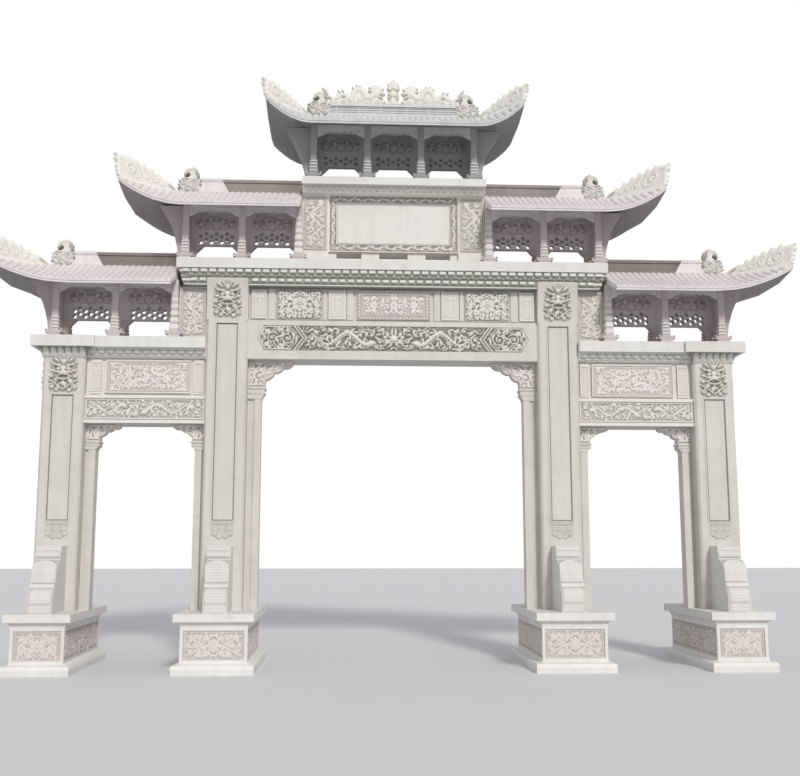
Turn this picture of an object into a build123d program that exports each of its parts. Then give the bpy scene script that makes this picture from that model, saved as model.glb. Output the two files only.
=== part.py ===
"""Stone memorial gateway: four piers, three bays and five roofs.

The gateway stands on level ground at z = 0. X runs along its front, the front faces -Y,
and the origin is the centre of its footprint. The left half mirrors the right half.
All sizes are in millimetres.
"""
import math
import os

from build123d import *

os.makedirs("parts", exist_ok=True)

# Setting out of the piers
inner_pier_x = 2450
outer_pier_x = 4780
pier_width = 600
pier_depth = 640
pier_chamfer = 30
inner_pier_top = 5500
outer_pier_top = 4420

# Long sunk panel on the front and back of a pier
pier_panel_width = 310
pier_panel_bottom = 2050
pier_panel_sink = 14
mask_height = 480
mask_width = 400
mask_drop = 60
mask_proud = 70
side_mask_proud = 120

# Plinths under the piers
plinth_height = 800
inner_plinth_margin = 250
outer_plinth_margin = 155
plinth_depth = 2200
base_edge = 75
base_height = 150
die_inset = 98
cap_height = 105
cap_inset = 10
cavetto_height = 75
plinth_panel_margin = 42
plinth_panel_sink = 22

# Drum stones that brace a pier, front and back
drum_width = 330
drum_reach = 650
drum_base_height = 130
drum_barrel_height = 190
drum_band_height = 80
drum_upper_height = 310
drum_neck = 35
drum_top_height = 155
drum_shoulder = 190

# Door posts beside the piers and the corbels on them
web_width = 100
web_depth = 140
jamb_depth = 200
center_jamb_offset = 200
side_jamb_offset = 150
center_jamb_top = 3850
side_jamb_top = 3090
center_jamb_capital = 180
side_jamb_capital = 130
jamb_capital_spread = 45
corbel_depth = 170
center_corbel_length = 660
side_corbel_length = 480

# Beams, friezes, cornices and slabs of the middle bay
beam_bottom = 4420
beam_top = 5000
beam_depth = 540
beam_field_length = 4040
beam_field_bottom = 4550
beam_field_top = 4925
beam_field_sink = 20
frieze_depth = 400
frieze_panel_proud = 28
frieze_panel_margin = 22
cornice_margin = 30
cornice_inset = 160
cornice_step = 55
slab_bottom = 5730
slab_top = 5880
slab_depth = 1000
slab_overhang = 440

# The side bays
bay_beam_bottom = 3460
bay_beam_top = 3870
bay_beam_depth = 480
bay_ledge_height = 48
bay_ledge_proud = 26
bay_frieze_depth = 360
bay_cornice_bottom = 4420
bay_slab_bottom = 4550
bay_slab_top = 4710
bay_slab_depth = 840
capital_overhang = 150
capital_depth_overhang = 160
capital_lotus_spread = 90
shoulder_width = 420
shoulder_depth = 440

# The plaque and what holds it
plaque_half_width = 980
plaque_bottom = 6080
plaque_top = 6965
plaque_depth = 340
plaque_border = 125
plaque_sink = 30
plaque_post_width = 400
plaque_post_depth = 440
plaque_foot_depth = 300
plaque_outer_foot = 120
plaque_inner_foot = 270
plaque_inner_foot_x = 350
plaque_slab_bottom = 7035
plaque_slab_top = 7150

# Roof storeys: posts, lintels, pierced panels and end walls
storey_height = 860
post_row = 330
post_width = 92
post_foot_width = 176
post_plate_width = 240
post_dado_width = 128
post_foot_height = 45
post_plate_height = 50
post_dado_height = 215
post_depth = 190
top_post_inset = 165
mid_post_inset = 100
low_post_inset = 300
lintel_height = 125
lintel_depth = 60
lintel_bracket = 105
lintel_drop = 70
panel_depth = 90
panel_lift = 310
hole_radius = 36
hole_pitch = 155
hole_row_pitch = 42
hole_first_row = 50
foot_depth = 110
foot_half_width = 70
foot_spread = 120
end_wall_thickness = 70
end_wall_foot = 118
end_wall_flare = 300

# Roofs and ridges
roof_half_depth = 920
roof_rim = 50
eave_drop = 200
crown_rise = 475
roof_sag = 26
ridge_half_width = 80
soffit_half_width = 400
end_sag = 95
roof_lift = 350
lift_power = 2.0
top_lift_run = 680
mid_lift_run = 900
low_lift_run = 1180
top_hip_run = 600
side_hip_run = 745
top_roof_reach = 690
side_roof_reach = 900
ridge_height = 210
ridge_web = 90
ridge_cap = 130
ridge_cap_height = 45
ridge_base_height = 50
scroll_thickness = 80
fin_start = 470
fin_cusp = 30
fin_sink = 45
top_fin_top = 680
mid_fin_top = 745
low_fin_top = 725
beast_thickness = 110
beast_length = 320
beast_height = 360
beast_sink = 90
dragon_thickness = 90
dragon_height = 290
finial_radius = 95

# Places that follow from the sizes above
pier_face = inner_pier_x - pier_width / 2
pier_back = inner_pier_x + pier_width / 2
outer_pier_face = outer_pier_x - pier_width / 2
inner_plinth_width = pier_width + 2 * inner_plinth_margin
outer_plinth_width = pier_width + 2 * outer_plinth_margin
shoulder_end = pier_back + shoulder_width
slab_end = pier_back + slab_overhang
capital_start = outer_pier_face - capital_overhang
capital_end = outer_pier_x + pier_width / 2 + capital_overhang
plaque_end = plaque_half_width + plaque_post_width
half_pier = pier_depth / 2


def write_piece(name, *solids):
    """Join the given solids in one piece and write it under its name."""
    with BuildPart() as piece:
        for solid in solids:
            add(solid)
    piece.part.label = name
    export_step(piece.part, f"parts/{name}.step")


def mirrored(part):
    """The same part on the other side of the gateway."""
    with BuildPart() as other:
        mirror(part, about=Plane.YZ)
    return other.part


def turned(part):
    """The same part on the back of the gateway."""
    with BuildPart() as other:
        mirror(part, about=Plane.XZ)
    return other.part


def box_between(x0, x1, z0, z1, depth, y=0):
    """A plain block from x0 to x1 and z0 to z1, centred on y."""
    with BuildPart() as block:
        with BuildSketch(Plane.XY.offset(z0)):
            with Locations(((x0 + x1) / 2, y)):
                Rectangle(x1 - x0, depth)
        extrude(amount=z1 - z0)
    return block.part


def faceted(sections):
    """Body through closed outlines that have the same number of points, in flat faces."""
    faces = [Face(Wire.make_polygon(sections[0])), Face(Wire.make_polygon(sections[-1]))]
    for low, high in zip(sections, sections[1:]):
        for a, b, c, d in zip(low, low[1:] + low[:1], high[1:] + high[:1], high):
            faces.append(Face(Wire.make_polygon([a, b, c])))
            faces.append(Face(Wire.make_polygon([a, c, d])))
    return Solid(Shell(faces))


def flare(x, levels, y=0):
    """A body that passes through rectangles, each given as height, width and depth."""
    sections = []
    for z, width, depth in levels:
        corners = ((-1, -1), (1, -1), (1, 1), (-1, 1))
        sections.append([(x + a * width / 2, y + b * depth / 2, z) for a, b in corners])
    return faceted(sections)


def front_plate(outline, depth, y=0):
    """An upright plate with the given outline in x and z."""
    with BuildPart() as plate:
        with BuildSketch(Plane.XZ.offset(-y)):
            with BuildLine():
                Polyline(outline, close=True)
            make_face()
        extrude(amount=depth / 2, both=True)
    return plate.part


def cove(bottom, top, width, depth, spread, steps=3):
    """Rectangles of a hollow moulding that widens by spread on each side."""
    levels = []
    for step in range(steps + 1):
        turn = math.pi / 2 * step / steps
        grow = spread * (1 - math.cos(turn))
        rise = (top - bottom) * math.sin(turn)
        levels.append((bottom + rise, width + 2 * grow, depth + 2 * grow))
    return levels


def plinth(x, width):
    """Base course, panelled die, hollow moulding and cap."""
    die_width = width - 2 * die_inset
    die_depth = plinth_depth - 2 * die_inset
    die_top = plinth_height - cap_height - cavetto_height
    cap_width = width - 2 * cap_inset
    cap_depth = plinth_depth - 2 * cap_inset
    panel_bottom = base_height + plinth_panel_margin
    panel_height = die_top - plinth_panel_margin - panel_bottom
    panel_z = panel_bottom + panel_height / 2
    moulding = cove(die_top, die_top + cavetto_height, die_width, die_depth, die_inset - cap_inset - 15)
    with BuildPart() as body:
        add(box_between(x - width / 2, x + width / 2, 0, base_edge, plinth_depth))
        add(flare(x, [(base_edge, width, plinth_depth), (base_height, die_width, die_depth)]))
        add(box_between(x - die_width / 2, x + die_width / 2, base_height, die_top, die_depth))
        add(flare(x, moulding))
        add(box_between(x - cap_width / 2, x + cap_width / 2, plinth_height - cap_height, plinth_height, cap_depth))
        for side in (-1, 1):
            with BuildSketch(Plane.XZ.offset(side * die_depth / 2)):
                with Locations((x, panel_z)):
                    Rectangle(die_width - 2 * plinth_panel_margin, panel_height)
            extrude(amount=-side * plinth_panel_sink, mode=Mode.SUBTRACT)
            with BuildSketch(Plane.YZ.offset(x + side * die_width / 2)):
                with Locations((0, panel_z)):
                    Rectangle(die_depth - 2 * plinth_panel_margin, panel_height)
            extrude(amount=-side * plinth_panel_sink, mode=Mode.SUBTRACT)
    return body.part


def pier(x, top):
    """Square pier with chamfered corners and a long sunk panel front and back."""
    panel_top = top - mask_drop - mask_height
    panel_height = panel_top - pier_panel_bottom
    with BuildPart() as body:
        with BuildSketch(Plane.XY.offset(plinth_height)) as section:
            with Locations((x, 0)):
                Rectangle(pier_width, pier_depth)
            chamfer(section.vertices(), pier_chamfer)
        extrude(amount=top - plinth_height)
        for side in (-1, 1):
            with BuildSketch(Plane.XZ.offset(side * half_pier)):
                with Locations((x, pier_panel_bottom + panel_height / 2)):
                    Rectangle(pier_panel_width, panel_height)
            extrude(amount=-side * pier_panel_sink, mode=Mode.SUBTRACT)
    return body.part


def mask_outline(width, height):
    """Half-round crown, cheeks and a pointed beard, from the middle of the top."""
    return [
        (-0.30 * width, 0.00 * height), (0.30 * width, 0.00 * height),
        (0.50 * width, -0.22 * height), (0.46 * width, -0.52 * height),
        (0.50 * width, -0.70 * height), (0.26 * width, -0.94 * height),
        (0.00 * width, -1.00 * height), (-0.26 * width, -0.94 * height),
        (-0.50 * width, -0.70 * height), (-0.46 * width, -0.52 * height),
        (-0.50 * width, -0.22 * height),
    ]


def mask(plane, width, height, proud):
    """A beast mask as a boss that swells from its outline to a smaller face."""
    sections = []
    for out, share in ((0, 1.0), (0.55, 0.94), (1.0, 0.58)):
        drop = 0.46 * height * (1 - share)
        outline = [(a, b - drop) for a, b in mask_outline(share * width, share * height)]
        sections.append([plane.from_local_coords((a, b, out * proud)) for a, b in outline])
    with BuildPart() as boss:
        add(faceted(sections))
    return boss.part


def front_mask(x, top):
    """The mask at the head of a pier's front."""
    face = Plane(origin=(x, -half_pier, top - mask_drop), x_dir=(1, 0, 0), z_dir=(0, -1, 0))
    return mask(face, mask_width, mask_height - mask_drop, mask_proud)


def side_mask(top):
    """The mask on the outer side of the outer pier."""
    face = Plane(origin=(outer_pier_x + pier_width / 2, 0, top - mask_drop), x_dir=(0, 1, 0), z_dir=(1, 0, 0))
    return mask(face, mask_width, mask_height - mask_drop, side_mask_proud)


def drum_stone(x):
    """Scrolled brace in front of a pier, drawn from the side and as wide as its drum."""
    foot = -half_pier - drum_reach
    barrel_z = plinth_height + drum_base_height
    band_z = barrel_z + drum_barrel_height
    upper_z = band_z + drum_band_height
    neck_z = upper_z + drum_upper_height
    top_z = neck_z + drum_neck + drum_top_height
    band_y = foot + 75
    upper_y = foot + 125
    neck_y = foot + 340
    with BuildPart() as stone:
        with BuildSketch(Plane.YZ.offset(x)):
            with BuildLine():
                Polyline((-half_pier, plinth_height), (foot, plinth_height), (foot, barrel_z))
                ThreePointArc((foot, barrel_z), (foot + 12, barrel_z + 110), (band_y + 20, band_z))
                Polyline((band_y + 20, band_z), (band_y, band_z), (band_y, upper_z), (upper_y, upper_z))
                Line((upper_y, upper_z), (upper_y + 12, neck_z - drum_shoulder))
                ThreePointArc(
                    (upper_y + 12, neck_z - drum_shoulder),
                    (upper_y + 12 + 0.30 * drum_shoulder, neck_z - 0.30 * drum_shoulder),
                    (neck_y, neck_z),
                )
                Polyline(
                    (neck_y, neck_z), (neck_y, neck_z + drum_neck), (neck_y - 25, neck_z + drum_neck),
                    (neck_y - 25, top_z - 80), (neck_y + 15, top_z - 80), (neck_y + 15, top_z),
                    (-half_pier, top_z), (-half_pier, plinth_height),
                )
            make_face()
        extrude(amount=drum_width / 2, both=True)
    return stone.part


def jamb_post(face, way, offset, top, capital):
    """Door post with a thin web to the pier and a small flared capital."""
    post_face = face + way * offset
    post_start = face + way * (offset - web_width)
    tip = face + way * (offset + jamb_capital_spread)
    with BuildPart() as post:
        add(box_between(min(face, post_start), max(face, post_start), plinth_height, top, web_depth))
        add(box_between(min(post_start, post_face), max(post_start, post_face), plinth_height, top, jamb_depth))
        add(front_plate(
            [
                (face, top), (post_face, top), (tip, top + capital * 0.45),
                (tip, top + capital), (face, top + capital),
            ],
            jamb_depth,
        ))
    return post.part


def lobe(start, end, bulge):
    """Arc between two points that swells to one side by a share of its length."""
    dx = end[0] - start[0]
    dz = end[1] - start[1]
    middle = ((start[0] + end[0]) / 2 + bulge * dz, (start[1] + end[1]) / 2 - bulge * dx)
    return ThreePointArc(start, middle, end)


def corbel(face, way, offset, bottom, top, length):
    """Stepped and curved bracket from the door post's capital out under the beam."""
    heel = offset + jamb_capital_spread
    height = top - bottom
    shares = [(0.0, 0.0), (0.02, 0.28), (0.33, 0.56), (0.66, 0.74), (1.0, 1 - 40 / height)]
    points = [(face + way * (heel + (length - heel) * a), bottom + height * b) for a, b in shares]
    with BuildPart() as bracket:
        with BuildSketch(Plane.XZ):
            with BuildLine():
                Polyline(points[-1], (points[-1][0], top), (face, top), (face, bottom), points[0], points[1])
                for start, end in zip(points[1:], points[2:]):
                    lobe(start, end, 0.16 * way)
            make_face()
        extrude(amount=corbel_depth / 2, both=True)
    return bracket.part


def middle_beam():
    """Deep beam of the middle bay with a sunk field whose ends are cut to a point."""
    half = beam_field_length / 2
    middle = (beam_field_bottom + beam_field_top) / 2
    point = (beam_field_top - beam_field_bottom) / 2
    outline = [
        (-half, middle), (-half + point / 2, beam_field_bottom), (half - point / 2, beam_field_bottom),
        (half, middle), (half - point / 2, beam_field_top), (-half + point / 2, beam_field_top),
    ]
    with BuildPart() as beam:
        add(box_between(-pier_face, pier_face, beam_bottom, beam_top, beam_depth))
        for side in (-1, 1):
            with BuildSketch(Plane.XZ.offset(side * beam_depth / 2)):
                with BuildLine():
                    Polyline(outline, close=True)
                make_face()
            extrude(amount=-side * beam_field_sink, mode=Mode.SUBTRACT)
    return beam.part


def panelled_wall(x0, x1, z0, z1, depth, panels):
    """Wall between two piers with raised panels, given by their ends, on both faces."""
    height = z1 - z0 - 2 * frieze_panel_margin
    with BuildPart() as wall:
        add(box_between(x0, x1, z0, z1, depth))
        for side in (-1, 1):
            with BuildSketch(Plane.XZ.offset(side * depth / 2)):
                for start, end in panels:
                    with Locations(((start + end) / 2, (z0 + z1) / 2)):
                        Rectangle(end - start, height)
            extrude(amount=side * frieze_panel_proud)
    return wall.part


def cornice(x0, x1, z0, z1, depth, step, ends):
    """Two stepped and sloping courses under a slab, each wider than the one below."""
    height = (z1 - z0) / 2
    with BuildPart() as courses:
        for course in range(2):
            bottom = z0 + course * height
            grow = [course * step, course * step + 0.55 * step, (course + 1) * step]
            sections = []
            for z, out in zip((bottom, bottom + 0.35 * height, bottom + height), grow):
                start = x0 - out * ends
                end = x1 + out * ends
                half = depth / 2 + out
                sections.append([(start, -half, z), (end, -half, z), (end, half, z), (start, half, z)])
            add(faceted(sections))
    return courses.part


def post(x, y, bottom, top):
    """Small square post on a foot, a spreading plate and a tapered dado."""
    plate_z = bottom + post_foot_height
    dado_z = plate_z + post_plate_height
    shaft_z = dado_z + post_dado_height
    with BuildPart() as column:
        add(box_between(x - post_foot_width / 2, x + post_foot_width / 2, bottom, plate_z, post_foot_width, y))
        add(flare(x, [
            (plate_z, post_plate_width, post_depth),
            (plate_z + post_plate_height / 2, post_plate_width, post_depth),
            (dado_z, post_dado_width, post_dado_width),
        ], y))
        add(flare(x, [(dado_z, post_dado_width, post_dado_width), (shaft_z, post_width, post_width)], y))
        add(box_between(x - post_width / 2, x + post_width / 2, shaft_z, top, post_width, y))
    return column.part


def lintel(x0, x1, top, y):
    """Board between two posts: brackets at its ends and a scalloped edge between them."""
    start = x0 + post_width / 2
    end = x1 - post_width / 2
    steps = 8
    edge = []
    for step in range(steps + 1):
        share = step / steps
        x = start + (end - start) * share
        near = max(0.0, 1 - min(x - start, end - x) / lintel_bracket)
        scallop = 9 * math.cos(4 * math.pi * share)
        edge.append((x, top - lintel_height - lintel_drop * near ** 0.6 - scallop * (near == 0)))
    return front_plate([(start, top), *edge, (end, top)], lintel_depth, y)


def pierced_panel(x0, x1, bottom, top, centres, rows):
    """Wall between the post rows with a honeycomb of six-sided holes along its foot."""
    with BuildPart() as panel:
        add(box_between(x0, x1, bottom + panel_lift, top, panel_depth))
        with BuildSketch(Plane.XZ):
            for centre in centres:
                for row in range(rows):
                    z = bottom + panel_lift + hole_first_row + row * hole_row_pitch
                    with Locations((centre, z)):
                        with GridLocations(hole_pitch, 1, 4 - row % 2, 1):
                            RegularPolygon(hole_radius, 6)
        extrude(amount=panel_depth, both=True, mode=Mode.SUBTRACT)
    return panel.part


def panel_foot(x, bottom, left, right):
    """Foot that spreads upwards to the panel on one or both sides."""
    top = bottom + panel_lift
    bend = bottom + panel_lift * 0.62
    outline = [
        (x - foot_half_width * left, bottom), (x + foot_half_width * right, bottom),
        (x + foot_half_width * right, bend), (x + (foot_half_width + foot_spread) * right, top),
        (x - (foot_half_width + foot_spread) * left, top), (x - foot_half_width * left, bend),
    ]
    return front_plate(outline, foot_depth)


def end_wall(x, bottom, top):
    """Wall across the end of a storey whose outer face sweeps out under the roof."""
    depth = 2 * post_row - post_depth
    height = top - bottom
    inner = x - end_wall_thickness / 2
    outer = x + end_wall_foot
    bend = (outer + 0.07 * end_wall_flare, bottom + 0.22 * height)
    with BuildPart() as wall:
        with BuildSketch(Plane.XZ):
            with BuildLine():
                Polyline((outer + end_wall_flare, top), (inner, top), (inner, bottom), (outer, bottom), bend)
                ThreePointArc(
                    bend, (outer + 0.38 * end_wall_flare, bottom + 0.62 * height), (outer + end_wall_flare, top),
                )
            make_face()
        extrude(amount=depth / 2, both=True)
    return wall.part


class RoofForm:
    """The curves of one roof: its flat eave height, its tip, the runs of its lift and hip, its fins' height."""

    def __init__(self, eave, outer, lift_run, hip_run, fin_top):
        self.eave = eave
        self.fin_top = fin_top
        self.outer = outer
        self.lift_run = lift_run
        self.hip_run = hip_run
        self.hip_start = outer - hip_run

    def lift(self, x):
        """How far the eave has risen at x."""
        along = max(0.0, min(1.0, (x - self.outer + self.lift_run) / self.lift_run))
        return roof_lift * along ** lift_power

    def hip(self, x):
        """How far x is along the hip, from 0 at the ridge's end to 1 at the tip."""
        return max(0.0, min(1.0, (x - self.hip_start) / self.hip_run))

    def crown(self, x):
        """Half-width and height of the roof's crown at x, between its hips."""
        hip = self.hip(x)
        half = ridge_half_width + (roof_half_depth - 60 - ridge_half_width) * hip
        height = crown_rise + (roof_lift + roof_rim + 14 - crown_rise) * hip - 4 * end_sag * 0.4 * hip * (1 - hip)
        return half, self.eave + height

    def section(self, x):
        """Cross-section at x as points in space, up the front slope and down the back."""
        base = self.eave + self.lift(x)
        hip = self.hip(x)
        half, top = self.crown(x)
        front = [(-roof_half_depth, base), (-roof_half_depth, base + roof_rim)]
        for share in (0.35, 0.7):
            y = -roof_half_depth + (roof_half_depth - half) * share
            z = base + roof_rim + (top - base - roof_rim) * share
            front.append((y, z - roof_sag * (1 - hip)))
        front.append((-half, top))
        back = [(-y, z) for y, z in reversed(front)]
        inward = min(1.0, (self.outer - x) / (roof_half_depth - soffit_half_width))
        soffit = base + eave_drop * inward - end_sag * hip ** 2
        under = [(soffit_half_width, soffit), (-soffit_half_width, soffit)]
        points = front + [(0, top - end_sag * hip ** 2)] + back + under
        return [(x, y, z) for y, z in points]

    def stations(self, inner):
        """Places of the cross-sections from the inner end to the tip, closer where it curls."""
        start = self.outer - self.lift_run
        places = [inner] if inner < start - 1 else []
        for share in (0, 0.25, 0.45, 0.61, 0.75, 0.88, 1):
            places.append(start + (self.outer - 1 - start) * share)
        places.append(self.hip_start)
        return sorted(set(places))

    def body(self, inner):
        """The roof from its inner end to its tip."""
        with BuildPart() as body:
            add(faceted([self.section(x) for x in self.stations(inner)]))
        return body.part

    def scroll(self, side):
        """Scrolled fin on the hip, from the ridge's end to the corner, before it is seated."""
        hip_y = roof_half_depth - 60 - ridge_half_width
        length = math.hypot(self.hip_run, hip_y)
        steps = 6
        foot = []
        crest = []
        for step in range(steps + 1):
            share = step / steps
            _, top = self.crown(self.hip_start + self.hip_run * share)
            foot.append((length * share, top - fin_sink))
            swell = math.sin(math.pi / 2 * min(1.0, share * 1.1))
            cusp = fin_cusp if step % 2 else 0
            rise = fin_start + (self.fin_top - fin_start) * swell - cusp
            crest.append((length * (0.04 + 0.99 * share), self.eave + rise))
        nose = [(length + 20, foot[-1][1] + 60), (length + 90, crest[-1][1] - 60)]
        face = Plane(
            origin=(self.hip_start, side * ridge_half_width, 0),
            x_dir=(self.hip_run, side * hip_y, 0),
            z_dir=(side * hip_y, -self.hip_run, 0),
        )
        with BuildPart() as fin:
            with BuildSketch(face):
                with BuildLine():
                    Polyline(foot + nose + list(reversed(crest)), close=True)
                make_face()
            extrude(amount=scroll_thickness / 2, both=True)
        return fin.part


def seated_scrolls(form, roof):
    """The two fins of a roof's outer end, cut to sit on its hips."""
    fins = []
    for side in (-1, 1):
        with BuildPart() as fin:
            add(form.scroll(side))
            add(roof, mode=Mode.SUBTRACT)
        fins.append(fin.part)
    return fins


def ridge_bar(x0, x1, z):
    """Moulded ridge, a base, a thinner web and a cap, lower under the beast at its end."""
    top = z + ridge_height
    base_top = z + ridge_base_height
    cap_z = top - ridge_cap_height
    seat = x1 - beast_length
    half = [(ridge_half_width, z), (ridge_half_width, base_top), (ridge_web / 2, base_top)]
    half += [(ridge_web / 2, cap_z), (ridge_cap / 2, cap_z), (ridge_cap / 2, top)]
    with BuildPart() as ridge:
        with BuildSketch(Plane.YZ.offset(x0)):
            with BuildLine():
                Polyline(half + [(-y, z) for y, z in reversed(half)], close=True)
            make_face()
        extrude(amount=seat - x0)
        add(box_between(seat, x1, z, top - beast_sink, 2 * ridge_half_width))
    return ridge.part


def ridge_beast(x1, z):
    """Curled beast at the end of a ridge, its back outwards."""
    outline = [
        (0.00, 0.00), (1.00, 0.00), (0.98, 0.30), (0.84, 0.46), (1.00, 0.52), (0.86, 0.62), (0.62, 0.66),
        (0.74, 0.80), (0.62, 0.97), (0.36, 1.00), (0.20, 0.84), (0.24, 0.58), (0.04, 0.34),
    ]
    points = [(x1 - beast_length * (1 - a), z + beast_height * b) for a, b in outline]
    return front_plate(points, beast_thickness)


def ridge_dragon(x0, x1, z):
    """Dragon along the top ridge: a tail, three coils and a raised head near the middle."""
    edge = []
    steps = 24
    for step in range(steps + 1):
        share = step / steps
        rise = 0.38 + 0.42 * share + 0.18 * abs(math.sin(3.5 * math.pi * share))
        edge.append((x1 + (x0 - x1) * share, z + dragon_height * min(rise, 1.0)))
    return front_plate([(x0, z), (x1, z), *edge], dragon_thickness)


def finial(z):
    """Pearl on a pedestal with a pointed flame, in rings of twelve flat sides."""
    r = finial_radius
    rings = []
    for radius, height in (
        (0.85, 0), (0.85, 0.5), (0.45, 0.8), (0.45, 1.2), (0.7, 1.4), (0.95, 1.75), (1.0, 2.1),
        (0.95, 2.45), (0.7, 2.8), (0.3, 3.4), (0.02, 4.4),
    ):
        turns = [2 * math.pi * k / 12 for k in range(12)]
        rings.append([(radius * r * math.cos(t), radius * r * math.sin(t), z + height * r) for t in turns])
    with BuildPart() as pearl:
        add(faceted(rings))
    return pearl.part


# Ground to pier tops
inner_plinth = plinth(inner_pier_x, inner_plinth_width)
outer_plinth = plinth(outer_pier_x, outer_plinth_width)
write_piece("inner_plinths", inner_plinth, mirrored(inner_plinth))
write_piece("outer_plinths", outer_plinth, mirrored(outer_plinth))

inner_pier = pier(inner_pier_x, inner_pier_top)
outer_pier = pier(outer_pier_x, outer_pier_top)
write_piece("inner_piers", inner_pier, mirrored(inner_pier))
write_piece("outer_piers", outer_pier, mirrored(outer_pier))

masks = []
for x, top in ((inner_pier_x, inner_pier_top), (outer_pier_x, outer_pier_top)):
    front = front_mask(x, top)
    masks += [front, turned(front)]
masks.append(side_mask(outer_pier_top))
write_piece("pier_masks", *masks, *[mirrored(piece) for piece in masks])

drums = []
for x in (inner_pier_x, outer_pier_x):
    front = drum_stone(x)
    drums += [front, turned(front)]
write_piece("drum_stones", *drums, *[mirrored(piece) for piece in drums])

# Door posts and corbels
openings = [
    (pier_face, -1, center_jamb_offset, center_jamb_top, center_jamb_capital, beam_bottom, center_corbel_length),
    (pier_back, 1, side_jamb_offset, side_jamb_top, side_jamb_capital, bay_beam_bottom, side_corbel_length),
    (outer_pier_face, -1, side_jamb_offset, side_jamb_top, side_jamb_capital, bay_beam_bottom, side_corbel_length),
]
posts = [jamb_post(face, way, offset, top, cap) for face, way, offset, top, cap, _, _ in openings]
brackets = [
    corbel(face, way, offset, top + cap, under, length)
    for face, way, offset, top, cap, under, length in openings
]
write_piece("jamb_posts", *posts, *[mirrored(piece) for piece in posts])
write_piece("corbels", *brackets, *[mirrored(piece) for piece in brackets])

# Middle bay
write_piece("beam_center", middle_beam())
half_panels = [(606, 695), (710, 975), (990, 1050), (1065, 1737), (1760, 1860), (1885, 2115)]
middle_panels = [(-555, 555)] + half_panels + [(-b, -a) for a, b in half_panels]
write_piece("frieze_center", panelled_wall(-pier_face, pier_face, beam_top, inner_pier_top, frieze_depth, middle_panels))

cornice_end = slab_end - cornice_inset
cornice_depth = pier_depth + 2 * cornice_margin
write_piece("cornice_center", cornice(-cornice_end, cornice_end, inner_pier_top, slab_bottom, cornice_depth, cornice_step, 1))
write_piece("slab_center", box_between(-slab_end, slab_end, slab_bottom, slab_top, slab_depth))

# Side bays
bay_start = pier_back
bay_end = outer_pier_face


def bay_beam():
    """Carved beam of a side bay between an upper and a lower ledge."""
    with BuildPart() as beam:
        add(box_between(bay_start, bay_end, bay_beam_bottom, bay_beam_top, bay_beam_depth))
        ledge_depth = bay_beam_depth + 2 * bay_ledge_proud
        add(box_between(bay_start, bay_end, bay_beam_bottom, bay_beam_bottom + bay_ledge_height, ledge_depth))
        add(box_between(bay_start, bay_end, bay_beam_top - bay_ledge_height, bay_beam_top, ledge_depth))
    return beam.part


beam = bay_beam()
write_piece("bay_beams", beam, mirrored(beam))
bay_panels = [(bay_start + 40, bay_start + 180), (bay_start + 235, bay_end - 290), (bay_end - 215, bay_end - 55)]
bay_frieze = panelled_wall(bay_start, bay_end, bay_beam_top, bay_cornice_bottom, bay_frieze_depth, bay_panels)
write_piece("bay_friezes", bay_frieze, mirrored(bay_frieze))
bay_cornice = cornice(bay_start, bay_end, bay_cornice_bottom, bay_slab_bottom, bay_frieze_depth + 120, 42, 0)
write_piece("bay_cornices", bay_cornice, mirrored(bay_cornice))
bay_slab = box_between(bay_start, capital_start, bay_slab_bottom, bay_slab_top, bay_slab_depth)
write_piece("bay_slabs", bay_slab, mirrored(bay_slab))

with BuildPart() as capital:
    add(flare(outer_pier_x, cove(outer_pier_top, bay_slab_bottom, pier_width, pier_depth, capital_lotus_spread)))
    capital_depth = pier_depth + 2 * capital_depth_overhang
    inner_side = box_between(capital_start, bay_end, outer_pier_top, bay_slab_bottom, capital_depth)
    add(inner_side, mode=Mode.SUBTRACT)
    add(box_between(capital_start, capital_end, bay_slab_bottom, bay_slab_top, capital_depth))
write_piece("capitals", capital.part, mirrored(capital.part))

shoulder = box_between(pier_back, shoulder_end, bay_slab_top, inner_pier_top, shoulder_depth)
write_piece("shoulders", shoulder, mirrored(shoulder))

# Plaque storey
feet = []
for x, width in ((plaque_inner_foot_x, plaque_inner_foot), (plaque_half_width - plaque_outer_foot / 2, plaque_outer_foot)):
    feet.append(box_between(x - width / 2, x + width / 2, slab_top, plaque_bottom, plaque_foot_depth))
write_piece("plaque_feet", *feet, *[mirrored(piece) for piece in feet])

with BuildPart() as plaque:
    add(box_between(-plaque_half_width, plaque_half_width, plaque_bottom, plaque_top, plaque_depth))
    for side in (-1, 1):
        with BuildSketch(Plane.XZ.offset(side * plaque_depth / 2)):
            with Locations((0, (plaque_bottom + plaque_top) / 2)):
                Rectangle(2 * (plaque_half_width - plaque_border), plaque_top - plaque_bottom - 2 * plaque_border)
        extrude(amount=-side * plaque_sink, mode=Mode.SUBTRACT)
write_piece("plaque", plaque.part)

plaque_post = box_between(plaque_half_width, plaque_end, slab_top, plaque_top, plaque_post_depth)
write_piece("plaque_posts", plaque_post, mirrored(plaque_post))
write_piece(
    "plaque_cornice",
    cornice(-plaque_end, plaque_end, plaque_top, plaque_slab_bottom, plaque_post_depth + 120, 50, 0),
)
write_piece("plaque_slab", box_between(-plaque_end, plaque_end, plaque_slab_bottom, plaque_slab_top, slab_depth))


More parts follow.
